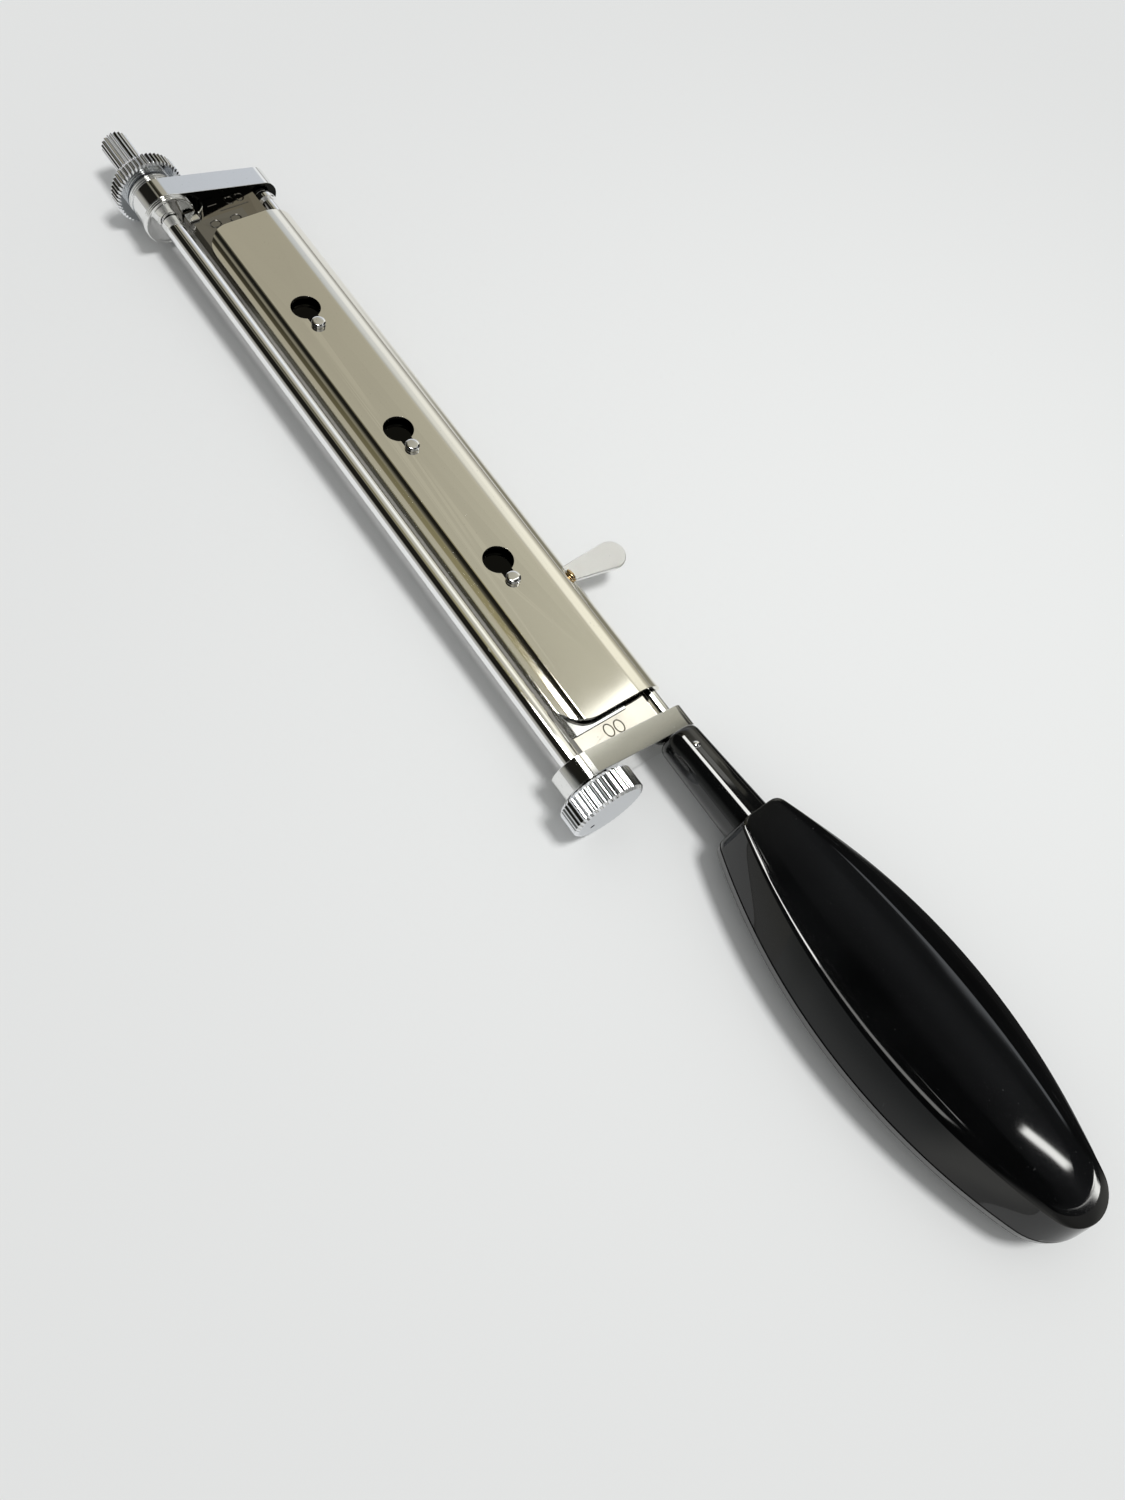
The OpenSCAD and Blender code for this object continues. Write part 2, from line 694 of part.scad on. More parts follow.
// The upper and the lower half are alike: bevel, edge and crown
module handle_body() {
    facet_len = handle_len - facet_inset;
    film = 0.02;
    hull() {
        slice(handle_mid_z - handle_land / 2, handle_land, handle_len, handle_w / 2, handle_side_r);
        for (z = [handle_crown, handle_t - handle_crown - film]) {
            slice(z, film, facet_len, facet_w / 2, facet_side_r);
        }
        for (z = [0, handle_t - film]) {
            slice(z, film, facet_len - crown_inset, crown_w / 2, crown_side_r);
        }
    }
}

module handle() {
    color([0.04, 0.04, 0.04]) in_place() difference() {
        translate([handle_root[0], handle_root[1], 0]) rotate([0, 0, handle_yaw]) handle_body();
        handle_axis() {
            translate([0, 0, neck_len]) {
                cylinder(h = neck_gap + neck_seat + fix_clear, r = neck_stub_d / 2 + fix_clear);
                cylinder(h = neck_gap + tang_reach + fix_clear, r = tang_d / 2 + fix_clear);
            }
        }
    }
}

base_plate();
blade();
studs();
blade_latch();
plate_pins();
near_bracket();
far_bracket();
hinge_rod();
rod_collar();
cover_plate();
thumb_tab();
roller();
setting_spindle();
near_knob();
knob_pin();
near_bush();
far_flange();
far_collar();
lock_nut();
tip_grip();
tang();
neck();
neck_pin();
handle();
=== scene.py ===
# %% [markdown]
# # A skin grafting knife, dressed over its measured parts
#
# The knife lies on a white table. A long nickel-plated cover hides the blade, a thin guard roller
# runs in front of the edge, fluted knobs sit at both ends of the roller, and a flat, leaf-shaped
# black handle follows behind a round neck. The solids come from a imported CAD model; this lesson
# gives them the soft edges, the fine flutes and the worn, shiny surfaces that a camera sees.

import math

import bmesh
import bpy
import numpy as np
from mathutils import Matrix, Vector


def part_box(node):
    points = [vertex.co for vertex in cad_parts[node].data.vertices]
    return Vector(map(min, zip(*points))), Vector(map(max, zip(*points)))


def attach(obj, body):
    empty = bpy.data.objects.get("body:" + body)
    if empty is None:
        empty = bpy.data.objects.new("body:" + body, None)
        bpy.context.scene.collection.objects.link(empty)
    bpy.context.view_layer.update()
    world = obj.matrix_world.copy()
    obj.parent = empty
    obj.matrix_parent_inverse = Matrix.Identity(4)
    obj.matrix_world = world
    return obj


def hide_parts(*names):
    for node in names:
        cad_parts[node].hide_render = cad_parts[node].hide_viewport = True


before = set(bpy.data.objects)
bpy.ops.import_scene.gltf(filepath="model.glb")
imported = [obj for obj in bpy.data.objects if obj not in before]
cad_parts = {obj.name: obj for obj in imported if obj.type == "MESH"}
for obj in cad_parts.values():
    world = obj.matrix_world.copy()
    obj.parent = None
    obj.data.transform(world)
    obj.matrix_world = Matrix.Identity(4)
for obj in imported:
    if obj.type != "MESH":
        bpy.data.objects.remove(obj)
scene = bpy.context.scene
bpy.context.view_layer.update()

# %% [markdown]
# ## Sizes and places
#
# Blender works in metres, but a small instrument is easier to think of in millimetres. The sizes
# are counted as on a drawing: X from the cover's far end towards the handle, Y from the cover's
# front edge towards the back, Z up from the table. One helper turns such a place into the frame
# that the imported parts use. Its middle is read from the parts themselves, so both always agree.

# %% Sizes in millimetres and a helper for places
MM = 0.001
COVER_LEN = 152.0
ROLL_R, ROD_Y, ROD_Z, ROD_R = 2.95, 17.8, 5.1, 2.0
AXIS_Y, AXIS_Z = -7.2, 8.55
CORE_Y, CORE_Z, ROLLER_R = -7.606, 8.441, 2.35
NEAR_X, NEAR_OUT_X, FAR_X, FAR_OUT_X = 158.0, 163.4, -9.9, -15.9
PLATE_TOP = 8.7
FLANGE_LEN, COLLAR_LEN, BUSH_LEN, CLEAR = 1.7, 1.9, 0.7, 0.2
BEARING_BORE_R = 2.25
NECK_Y, NECK_Z = 15.55, 8.0
MIDDLE_X = -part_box("cover_plate")[0][0] / MM
MIDDLE_Y = ROD_Y + ROLL_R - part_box("cover_plate")[1][1] / MM


def at(x, y, z):
    """A place on the drawing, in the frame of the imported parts."""
    return Vector((x - MIDDLE_X, y - MIDDLE_Y, z)) * MM


print("drawing's middle:", round(MIDDLE_X, 3), round(MIDDLE_Y, 3))

# %% [markdown]
# ## The camera
#
# The camera stands where the photographer stood: above the cutting edge, looking down across the
# knife, so that it runs from the upper left to the lower right of an upright picture. Place, turn
# and lens were found by matching straight edges and known diameters, and are kept as numbers.

# %% Camera
camera_data = bpy.data.cameras.new("photo_camera")
camera_data.lens = 30.01
camera_data.sensor_width = 36.0
camera_data.clip_start = 0.01
camera = bpy.data.objects.new("photo_camera", camera_data)
scene.collection.objects.link(camera)
camera.location = at(219.36, -106.33, 235.74)
camera.rotation_mode = "AXIS_ANGLE"
camera.rotation_axis_angle = (1.0890, 0.4987, 0.0458, 0.9670)
scene.camera = camera
scene.view_settings.view_transform = "Standard"
print("camera height above the table in mm:", round(camera.location.z / MM, 1))

# %% [markdown]
# ## Table, light and the room in the metal
#
# Polished metal has hardly any colour of its own: it shows the room. So the world holds two rooms.
# Rays that light the scene see an even white one, at a level where a colour renders as it is
# written. Rays that a mirror sends out see a drawn room: a window low behind the knife, a tan
# ceiling, a long lamp overhead, and the dark shape of the photographer in front. It is drawn by the
# ray's direction alone. Its angle round the X axis, from the back over the top to the front, picks
# a colour on a ramp. Five such ramps follow each other, from rays that lean far to the tip to rays
# that lean to the handle; the last one is the tan side of the room, for looks from the tip. Lamps
# are boxes in angle and lean, added on top.

# %% Helpers for node trees
def add(tree, kind, **settings):
    """A new node with its settings made."""
    node = tree.nodes.new(kind)
    for key, value in settings.items():
        setattr(node, key, value)
    return node


def math_node(tree, operation, first, second=None, third=None, clamp=False):
    """A Math node, its inputs linked to sockets or set to numbers."""
    node = add(tree, "ShaderNodeMath", operation=operation, use_clamp=clamp)
    for index, value in enumerate((first, second, third)):
        if value is None:
            continue
        if isinstance(value, (int, float)):
            node.inputs[index].default_value = value
        else:
            tree.links.new(value, node.inputs[index])
    return node.outputs[0]


def ramp(tree, factor, stops):
    """A smooth colour ramp with its stops given as (place, colour)."""
    node = add(tree, "ShaderNodeValToRGB")
    node.color_ramp.interpolation = "EASE"
    elements = node.color_ramp.elements
    while len(elements) < len(stops):
        elements.new(1.0)
    for element, (place, colour) in zip(elements, stops):
        element.position = place
    for element, (place, colour) in zip(elements, stops):
        element.color = (*colour, 1.0)
    tree.links.new(factor, node.inputs["Fac"])
    return node.outputs["Color"]


def mix(tree, factor, first, second):
    """A Mix node set to colours; its colour sockets come after those for numbers and vectors."""
    node = add(tree, "ShaderNodeMix", data_type="RGBA")
    sockets = (node.inputs[0], node.inputs[6], node.inputs[7])
    for socket, value in zip(sockets, (factor, first, second)):
        if isinstance(value, (int, float)):
            socket.default_value = value
        elif isinstance(value, tuple):
            socket.default_value = (*value, 1.0)
        else:
            tree.links.new(value, socket)
    return node.outputs[2]


def object_place(tree):
    """Where on the object a point lies, as one vector."""
    return add(tree, "ShaderNodeTexCoord").outputs["Object"]


def split(tree, vector):
    """The three parts of a vector, by the names X, Y and Z."""
    node = add(tree, "ShaderNodeSeparateXYZ")
    tree.links.new(vector, node.inputs[0])
    return node.outputs


# %% The room that the metal shows
FAR_ROOM = [
    (0.00, (0.26, 0.26, 0.25)),
    (0.04, (0.50, 0.50, 0.49)),
    (0.09, (0.90, 0.92, 0.94)),
    (0.16, (0.84, 0.86, 0.88)),
    (0.20, (0.60, 0.63, 0.68)),
    (0.26, (0.54, 0.57, 0.60)),
    (0.31, (0.40, 0.38, 0.31)),
    (0.41, (0.38, 0.36, 0.29)),
    (0.44, (0.05, 0.045, 0.03)),
    (0.50, (0.012, 0.011, 0.008)),
    (0.53, (0.26, 0.25, 0.20)),
    (0.57, (0.010, 0.010, 0.008)),
    (0.81, (0.012, 0.011, 0.009)),
    (0.90, (0.36, 0.355, 0.32)),
    (1.00, (0.45, 0.45, 0.44)),
]
NEAR_ROOM = [
    (0.00, (0.26, 0.25, 0.22)),
    (0.06, (0.50, 0.48, 0.40)),
    (0.13, (1.00, 0.98, 0.86)),
    (0.235, (1.00, 0.98, 0.86)),
    (0.29, (0.52, 0.50, 0.42)),
    (0.34, (0.475, 0.462, 0.385)),
    (0.41, (0.465, 0.45, 0.37)),
    (0.445, (0.34, 0.31, 0.18)),
    (0.51, (0.34, 0.31, 0.18)),
    (0.54, (0.06, 0.055, 0.04)),
    (0.58, (0.012, 0.011, 0.008)),
    (0.81, (0.012, 0.011, 0.009)),
    (0.90, (0.36, 0.355, 0.32)),
    (1.00, (0.45, 0.45, 0.43)),
]
NECK_ROOM = [
    (0.00, (0.02, 0.02, 0.02)),
    (0.29, (0.02, 0.02, 0.02)),
    (0.33, (0.10, 0.10, 0.09)),
    (0.42, (0.06, 0.06, 0.05)),
    (0.44, (0.010, 0.010, 0.008)),
    (0.76, (0.010, 0.010, 0.008)),
    (0.88, (0.22, 0.23, 0.22)),
    (1.00, (0.50, 0.51, 0.50)),
]
HANDLE_ROOM = [
    (0.00, (0.05, 0.05, 0.05)),
    (0.27, (0.02, 0.02, 0.02)),
    (0.305, (0.06, 0.063, 0.066)),
    (0.325, (0.12, 0.125, 0.13)),
    (0.345, (0.06, 0.062, 0.064)),
    (0.36, (0.006, 0.006, 0.006)),
    (0.72, (0.006, 0.006, 0.006)),
    (0.86, (0.20, 0.21, 0.21)),
    (1.00, (0.56, 0.57, 0.56)),
]
SIDE_ROOM = [
    (0.00, (0.40, 0.40, 0.39)),
    (0.08, (0.66, 0.66, 0.62)),
    (0.24, (0.60, 0.60, 0.56)),
    (0.34, (0.26, 0.26, 0.25)),
    (0.50, (0.18, 0.18, 0.17)),
    (0.62, (0.28, 0.28, 0.27)),
    (0.86, (0.62, 0.62, 0.58)),
    (0.95, (0.64, 0.64, 0.61)),
    (1.00, (0.45, 0.45, 0.44)),
]


def rise(tree, value, low, high):
    """A soft step from 0 at low to 1 at high."""
    node = add(tree, "ShaderNodeMapRange", interpolation_type="SMOOTHSTEP")
    tree.links.new(value, node.inputs["Value"])
    node.inputs["From Min"].default_value = min(low, high)
    node.inputs["From Max"].default_value = max(low, high)
    node.inputs["To Min"].default_value = 0.0 if low < high else 1.0
    node.inputs["To Max"].default_value = 1.0 if low < high else 0.0
    return node.outputs["Result"]


def lamp_box(tree, turn, lean, turns, leans, soft_turn, soft_lean):
    """A lamp's shape: 1 between two angles and two leans, with soft borders."""
    shape = None
    for value, (low, high), soft in ((turn, turns, soft_turn), (lean, leans, soft_lean)):
        for side in (rise(tree, value, low - soft, low), rise(tree, value, high + soft, high)):
            shape = side if shape is None else math_node(tree, "MULTIPLY", shape, side)
    return shape


world = bpy.data.worlds.new("studio")
scene.world = world
world.use_nodes = True
tree = world.node_tree
tree.nodes.clear()
direction = split(tree, add(tree, "ShaderNodeTexCoord").outputs["Generated"])
lean = direction["X"]
turn = math_node(tree, "ARCTAN2", direction["Z"], direction["Y"])
turn = math_node(tree, "DIVIDE", turn, math.pi)
room = ramp(tree, turn, FAR_ROOM)
# Each later room takes over between its two leans.
ROOMS = [
    (-0.680, -0.280, NEAR_ROOM),
    (-0.236, -0.226, NECK_ROOM),
    (-0.160, -0.080, HANDLE_ROOM),
    (0.330, 0.480, SIDE_ROOM),
]
for low, high, stops in ROOMS:
    room = mix(tree, rise(tree, lean, low, high), room, ramp(tree, turn, stops))
# A lamp: its angles, its leans, the softness of each, its slant and its colour.
LAMPS = [
    ((0.460, 0.528), (-0.285, -0.150), 0.010, 0.012, 0.0, (15.0, 15.0, 14.5)),
    ((0.490, 0.515), (-0.150, -0.035), 0.010, 0.012, 0.0, (15.0, 15.0, 14.5)),
    ((0.490, 0.515), (-0.020, 0.200), 0.010, 0.015, 0.0, (2.5, 2.5, 2.4)),
    ((0.3290, 0.3325), (0.201, 0.258), 0.003, 0.010, 0.18, (14.0, 14.0, 13.5)),
    ((0.275, 0.290), (-0.06, 0.20), 0.005, 0.04, 0.0, (1.1, 1.15, 1.2)),
    ((0.29, 0.40), (-0.262, -0.228), 0.02, 0.008, 0.0, (1.75, 1.75, 1.65)),
    ((0.14, 0.27), (-0.244, -0.212), 0.02, 0.004, 0.0, (0.41, 0.40, 0.33)),
]
for turns, leans, soft_turn, soft_lean, slant, colour in LAMPS:
    off_middle = math_node(tree, "SUBTRACT", lean, sum(leans) / 2)
    slanted = math_node(tree, "MULTIPLY_ADD", off_middle, slant, turn)
    shape = lamp_box(tree, slanted, lean, turns, leans, soft_turn, soft_lean)
    room = mix(tree, shape, room, colour)
WORLD_LIGHT, BACKDROP = (0.44, 0.445, 0.445), (0.80, 0.80, 0.79)
rays = add(tree, "ShaderNodeLightPath").outputs
mirror = math_node(tree, "MAXIMUM", rays["Is Glossy Ray"], rays["Is Transmission Ray"])
seen = mix(tree, mirror, WORLD_LIGHT, room)
seen = mix(tree, rays["Is Camera Ray"], seen, BACKDROP)
background = add(tree, "ShaderNodeBackground")
tree.links.new(seen, background.inputs["Color"])
output = add(tree, "ShaderNodeOutputWorld")
tree.links.new(background.outputs[0], output.inputs["Surface"])

# %% [markdown]
# The table is a white sheet with a painted pool of light: brighter near the knife and dimmer further
# off.
# In the mirror of the metal a painted reflection lies behind the knife, a tan strip that turns dark, so
# the cover's rear bend shows a darker tan strip there.

# %% Table and lamp
FLOOR_SIZE = 3.0
floor_mesh = bpy.data.meshes.new("table")
half = FLOOR_SIZE / 2
corners = [(-half, -half, 0), (half, -half, 0), (half, half, 0), (-half, half, 0)]
floor_mesh.from_pydata(corners, [], [(0, 1, 2, 3)])
floor = bpy.data.objects.new("table", floor_mesh)
scene.collection.objects.link(floor)
table_paint = bpy.data.materials.new("table_paint")
table_paint.use_nodes = True
shader = table_paint.node_tree.nodes["Principled BSDF"]
shader.inputs["Roughness"].default_value = 0.5
shader.inputs["Specular IOR Level"].default_value = 0.0
floor_mesh.materials.append(table_paint)
tree = table_paint.node_tree
place = object_place(tree)
spot = split(tree, place)
# Painted pool of light: the paper is brightest round one spot near the knife and dimmer further off.
PAPER_BRIGHT, PAPER_FAR = (0.87, 0.878, 0.87), (0.785, 0.79, 0.785)
away = add(tree, "ShaderNodeVectorMath", operation="DISTANCE")
tree.links.new(place, away.inputs[0])
away.inputs[1].default_value = (0.05, 0.08, 0.0)
painted_pool = mix(tree, rise(tree, away.outputs["Value"], 0.02, 0.26), PAPER_BRIGHT, PAPER_FAR)
# Painted reflection: only glossy rays see the table behind the knife as a tan strip that turns dark
# towards the handle.
REFLECTED_TAN, REFLECTED_DARK = (0.25, 0.24, 0.19), (0.015, 0.015, 0.015)
behind = rise(tree, spot["Y"], 0.016, 0.034)
behind = math_node(tree, "MULTIPLY", behind, rise(tree, spot["X"], -0.13, -0.05))
in_mirror = add(tree, "ShaderNodeLightPath").outputs["Is Glossy Ray"]
behind = math_node(tree, "MULTIPLY", behind, in_mirror)
painted_strip = mix(tree, rise(tree, spot["X"], 0.020, 0.028), REFLECTED_TAN, REFLECTED_DARK)
tree.links.new(mix(tree, behind, painted_pool, painted_strip), shader.inputs["Base Color"])

window = bpy.data.lights.new("window", "SUN")
window.energy = 1.70
window.angle = math.radians(15)
window_object = bpy.data.objects.new("window", window)
scene.collection.objects.link(window_object)
window_object.rotation_mode = "QUATERNION"
window_object.rotation_quaternion = Vector((0.20, 0.20, 1.0)).to_track_quat("Z", "Y")
window_object.visible_glossy = False
print("light from the world", WORLD_LIGHT[0], "and from the window", window.energy)

# %% [markdown]
# ## Shared effects
#
# What appears on several finishes is a node group with named inputs. Polish lines are the hair-fine
# marks that a polishing wheel leaves, noise stretched along one direction. Handling marks are soft
# smudges, small pits and a few scratches. Edge wear finds the outer corners, where plating is
# thinnest. Two more groups find where shade is painted: the gap under the cover and the faces that
# look at the handle. A group only puts out numbers; each material decides what they do.

# %% Group: polish lines
def new_group(name, inputs, outputs):
    """A shader node group with named number sockets, and its two end nodes."""
    group = bpy.data.node_groups.new(name, "ShaderNodeTree")
    for label, value in inputs:
        socket = group.interface.new_socket(name=label, in_out="INPUT", socket_type="NodeSocketFloat")
        socket.default_value = value
    for label in outputs:
        group.interface.new_socket(name=label, in_out="OUTPUT", socket_type="NodeSocketFloat")
    return group, add(group, "NodeGroupInput"), add(group, "NodeGroupOutput")


def noise(tree, vector, scale, detail, roughness):
    """A noise texture read as one number."""
    node = add(tree, "ShaderNodeTexNoise")
    tree.links.new(vector, node.inputs["Vector"])
    if isinstance(scale, (int, float)):
        node.inputs["Scale"].default_value = scale
    else:
        tree.links.new(scale, node.inputs["Scale"])
    node.inputs["Detail"].default_value = detail
    node.inputs["Roughness"].default_value = roughness
    return node.outputs["Fac"]


lines_group, start, end = new_group("polish_lines", [("Along", 40.0), ("Across", 3000.0)], ["Lines"])
scales = add(lines_group, "ShaderNodeCombineXYZ")
lines_group.links.new(start.outputs["Along"], scales.inputs["X"])
lines_group.links.new(start.outputs["Across"], scales.inputs["Y"])
lines_group.links.new(start.outputs["Across"], scales.inputs["Z"])
stretch = add(lines_group, "ShaderNodeVectorMath", operation="MULTIPLY")
lines_group.links.new(object_place(lines_group), stretch.inputs[0])
lines_group.links.new(scales.outputs[0], stretch.inputs[1])
lines_group.links.new(noise(lines_group, stretch.outputs[0], 1.0, 5.0, 0.65), end.inputs["Lines"])

# %% Group: handling marks
marks_group, start, end = new_group(
    "handling_marks",
    [("Smudge Scale", 60.0), ("Pit Scale", 2400.0), ("Pit Threshold", 0.7)],
    ["Smudge", "Pits", "Scratches"],
)
place = object_place(marks_group)
smudge = noise(marks_group, place, start.outputs["Smudge Scale"], 3.0, 0.55)
smudge = math_node(marks_group, "MULTIPLY_ADD", smudge, 3.0, -1.0, clamp=True)
marks_group.links.new(smudge, end.inputs["Smudge"])
pits = noise(marks_group, place, start.outputs["Pit Scale"], 2.0, 0.5)
pits = math_node(marks_group, "SUBTRACT", pits, start.outputs["Pit Threshold"])
pits = math_node(marks_group, "MULTIPLY", pits, 14.0, clamp=True)
marks_group.links.new(pits, end.inputs["Pits"])
turned_place = add(marks_group, "ShaderNodeMapping")
turned_place.inputs["Rotation"].default_value = (0.3, 0.2, 0.7)
turned_place.inputs["Scale"].default_value = (90.0, 1400.0, 1400.0)
marks_group.links.new(place, turned_place.inputs["Vector"])
scratch = noise(marks_group, turned_place.outputs[0], 1.0, 2.0, 0.5)
scratch = math_node(marks_group, "SUBTRACT", scratch, 0.70)
scratch = math_node(marks_group, "MULTIPLY", scratch, 12.0, clamp=True)
marks_group.links.new(scratch, end.inputs["Scratches"])

# %% Group: edge wear
wear_group, start, end = new_group("edge_wear", [("Level", 0.52), ("Sharpness", 18.0)], ["Edge"])
corner = add(wear_group, "ShaderNodeNewGeometry").outputs["Pointiness"]
corner = math_node(wear_group, "SUBTRACT", corner, start.outputs["Level"])
corner = math_node(wear_group, "MULTIPLY", corner, start.outputs["Sharpness"], clamp=True)
wear_group.links.new(corner, end.inputs["Edge"])

# %% Groups: painted shade under the cover and on the faces that look at the handle
# A mask for painted shade: 1 in the gap under the cover, with a soft border.
under_cover_shade, start, end = new_group("gap_under_cover", [("Soft", 0.0006)], ["Shade"])
spot = split(under_cover_shade, object_place(under_cover_shade))
low, high = at(0.4, -1.0, 0), at(COVER_LEN - 1.2, ROD_Y, 0)
shade = None
for axis, border, sign in (("X", low.x, 1.0), ("X", high.x, -1.0), ("Y", low.y, 1.0)):
    past = math_node(under_cover_shade, "SUBTRACT", spot[axis], border)
    inside = math_node(under_cover_shade, "MULTIPLY", past, sign)
    inside = math_node(under_cover_shade, "DIVIDE", inside, start.outputs["Soft"], clamp=True)
    shade = inside if shade is None else math_node(under_cover_shade, "MULTIPLY", shade, inside)
under_cover_shade.links.new(shade, end.inputs["Shade"])

# A mask for painted shade: 1 on faces that look along +X, towards the handle.
handle_facing_shade, start, end = new_group("inner_face", [("Level", 0.9), ("Sharpness", 20.0)], ["Shade"])
facing = split(handle_facing_shade, add(handle_facing_shade, "ShaderNodeNewGeometry").outputs["True Normal"])
shade = math_node(handle_facing_shade, "SUBTRACT", facing["X"], start.outputs["Level"])
shade = math_node(handle_facing_shade, "MULTIPLY", shade, start.outputs["Sharpness"], clamp=True)
handle_facing_shade.links.new(shade, end.inputs["Shade"])
print("node groups:", [group.name for group in bpy.data.node_groups])

# %% [markdown]
# ## Plated and polished metal
#
# All bright parts are plated steel, in slightly different tones: the cover is warm nickel, the
# brackets and knobs are cooler chrome. One function makes such a metal. Smudges change the tone and
# the roughness over centimetres, pits and scratches over tenths of a millimetre, polish lines give
# the faint brushed sheen, and worn corners get a little lighter. Blade and plate get a near-black
# painted shade in the gap under the cover, so the keyholes read as black openings, and their far end
# turns a darker brown. The far arm gets a near-black painted shade on the face that looks at the
# blade; the knobs get a grey painted shade on their faces that look the same way.

# %% Metals
def use_group(tree, group, **values):
    """Places a shared effect in a material with its own values."""
    node = add(tree, "ShaderNodeGroup", node_tree=group)
    for label, value in values.items():
        node.inputs[label.replace("_", " ")].default_value = value
    return node.outputs


# Painted shade colours for the gap and the faces that look at the handle, and the darker brown of the
# far end.
PAINTED_SHADE_BLACK, PAINTED_SHADE_GREY, FAR_END_BROWN = (0.012, 0.012, 0.011), (0.53, 0.55, 0.58), (0.10, 0.085, 0.065)
# Where a metal gets painted shade: the group that finds the place, and the painted colour there.
SHADES = {
    "gap": (under_cover_shade, PAINTED_SHADE_BLACK),
    "inner": (handle_facing_shade, PAINTED_SHADE_BLACK),
    "face": (handle_facing_shade, PAINTED_SHADE_GREY),
}
LINE_HEIGHT = 0.0000012


def metal(
    name, tone, worn, rough, haze, along=40.0, across=3000.0, depth=0.6,
    pits=0.7, bump=1.0, shaded="", far_darkening=0.0,
):
    """A plated metal with polish lines, smudges, pits and lighter corners.

    It goes from tone to worn, and from rough on by haze, where the smudges are.
    """
    material = bpy.data.materials.new(name)
    material.use_nodes = True
    tree = material.node_tree
    shader = tree.nodes["Principled BSDF"]
    shader.inputs["Metallic"].default_value = 1.0
    lines = use_group(tree, lines_group, Along=along, Across=across)
    marks = use_group(tree, marks_group, Smudge_Scale=55.0, Pit_Scale=2200.0, Pit_Threshold=pits)
    corners = use_group(tree, wear_group, Level=0.52, Sharpness=18.0)
    colour = mix(tree, math_node(tree, "MULTIPLY", marks["Smudge"], 0.6), tone, worn)
    dark = math_node(tree, "MULTIPLY", marks["Pits"], 0.5)
    colour = mix(tree, dark, colour, tuple(value * 0.35 for value in tone))
    light = tuple(min(1.0, value * 1.12 + 0.03) for value in tone)
    colour = mix(tree, math_node(tree, "MULTIPLY", corners["Edge"], 0.7), colour, light)
    # Painted shade: where the group finds its place, the colour turns to the shade colour.
    if shaded:
        group, shade = SHADES[shaded]
        colour = mix(tree, use_group(tree, group)["Shade"], colour, shade)
    # The far end turns a darker brown.
    if far_darkening:
        far = rise(tree, split(tree, object_place(tree))["X"], at(30, 0, 0).x, at(20, 0, 0).x)
        colour = mix(tree, math_node(tree, "MULTIPLY", far, far_darkening), colour, FAR_END_BROWN)
    tree.links.new(colour, shader.inputs["Base Color"])
    dull = math_node(tree, "MULTIPLY_ADD", marks["Smudge"], haze, rough)
    dull = math_node(tree, "MULTIPLY_ADD", marks["Scratches"], 0.03, dull)
    dull = math_node(tree, "MULTIPLY_ADD", marks["Pits"], 0.2, dull, clamp=True)
    tree.links.new(dull, shader.inputs["Roughness"])
    height = math_node(tree, "MULTIPLY", lines["Lines"], depth)
    height = math_node(tree, "MULTIPLY_ADD", marks["Scratches"], -0.08, height)
    height = math_node(tree, "MULTIPLY_ADD", marks["Pits"], -0.8, height)
    bumps = add(tree, "ShaderNodeBump")
    bumps.inputs["Strength"].default_value = bump
    bumps.inputs["Distance"].default_value = LINE_HEIGHT
    tree.links.new(height, bumps.inputs["Height"])
    tree.links.new(bumps.outputs[0], shader.inputs["Normal"])
    return material


warm_nickel = metal("warm_nickel", (0.86, 0.835, 0.76), (0.835, 0.81, 0.74), 0.05, 0.03, depth=0.15)
near_chrome = metal(
    "near_chrome", (0.86, 0.86, 0.85), (0.80, 0.80, 0.78), 0.06, 0.04, pits=0.66, depth=0.2
)
far_chrome = metal(
    "far_chrome", (0.86, 0.86, 0.85), (0.82, 0.82, 0.81), 0.05, 0.03, depth=0.2, shaded="inner"
)
plate_steel = metal(
    "plate_steel", (0.64, 0.61, 0.55), (0.56, 0.53, 0.48), 0.05, 0.03, depth=0.3,
    shaded="gap", far_darkening=0.62,
)
bar_chrome = metal("bar_chrome", (0.88, 0.88, 0.88), (0.84, 0.84, 0.84), 0.03, 0.02, 3000.0, 60.0, 0.1)
knob_chrome = metal(
    "knob_chrome", (0.80, 0.81, 0.83), (0.75, 0.76, 0.78), 0.04, 0.02, 2500.0, 90.0, 0.2, shaded="face"
)
tab_satin = metal("tab_satin", (0.98, 0.98, 0.98), (0.95, 0.95, 0.95), 0.42, 0.06, depth=0.3)
blade_steel = metal(
    "blade_steel", (0.80, 0.81, 0.82), (0.74, 0.75, 0.76), 0.06, 0.03, 2600.0, 90.0, 0.2,
    shaded="gap", far_darkening=0.75,
)
hidden_steel = metal("hidden_steel", (0.48, 0.48, 0.47), (0.40, 0.40, 0.39), 0.32, 0.10, depth=1.2)
pin_shadow = metal("pin_shadow", (0.06, 0.06, 0.06), (0.04, 0.04, 0.04), 0.45, 0.10)
braze_brass = metal(
    "braze_brass", (0.70, 0.50, 0.26), (0.58, 0.40, 0.20), 0.20, 0.10, depth=1.2, bump=4.0
)
print("metals made:", len(bpy.data.materials) - 1)

# %% [markdown]
# ## Black moulding
#
# Handle and neck are black and polished. Such a surface reflects twice: a sharp clear image from
# its skin, and a faint grey haze from fine rub marks under it. A coat over a rougher base gives
# both; the coat bends light more than plain lacquer would, as hard rubber does. Very shallow waves
# bend the reflections a little, as on any hand-polished moulding, and a few specks of dust keep it
# from looking like glass.

# %% Black
BLACK, RUBBED_BLACK, DUST = (0.0010, 0.0011, 0.0012), (0.0028, 0.0030, 0.0032), (0.20, 0.20, 0.20)
MOULDING_IOR = 1.62


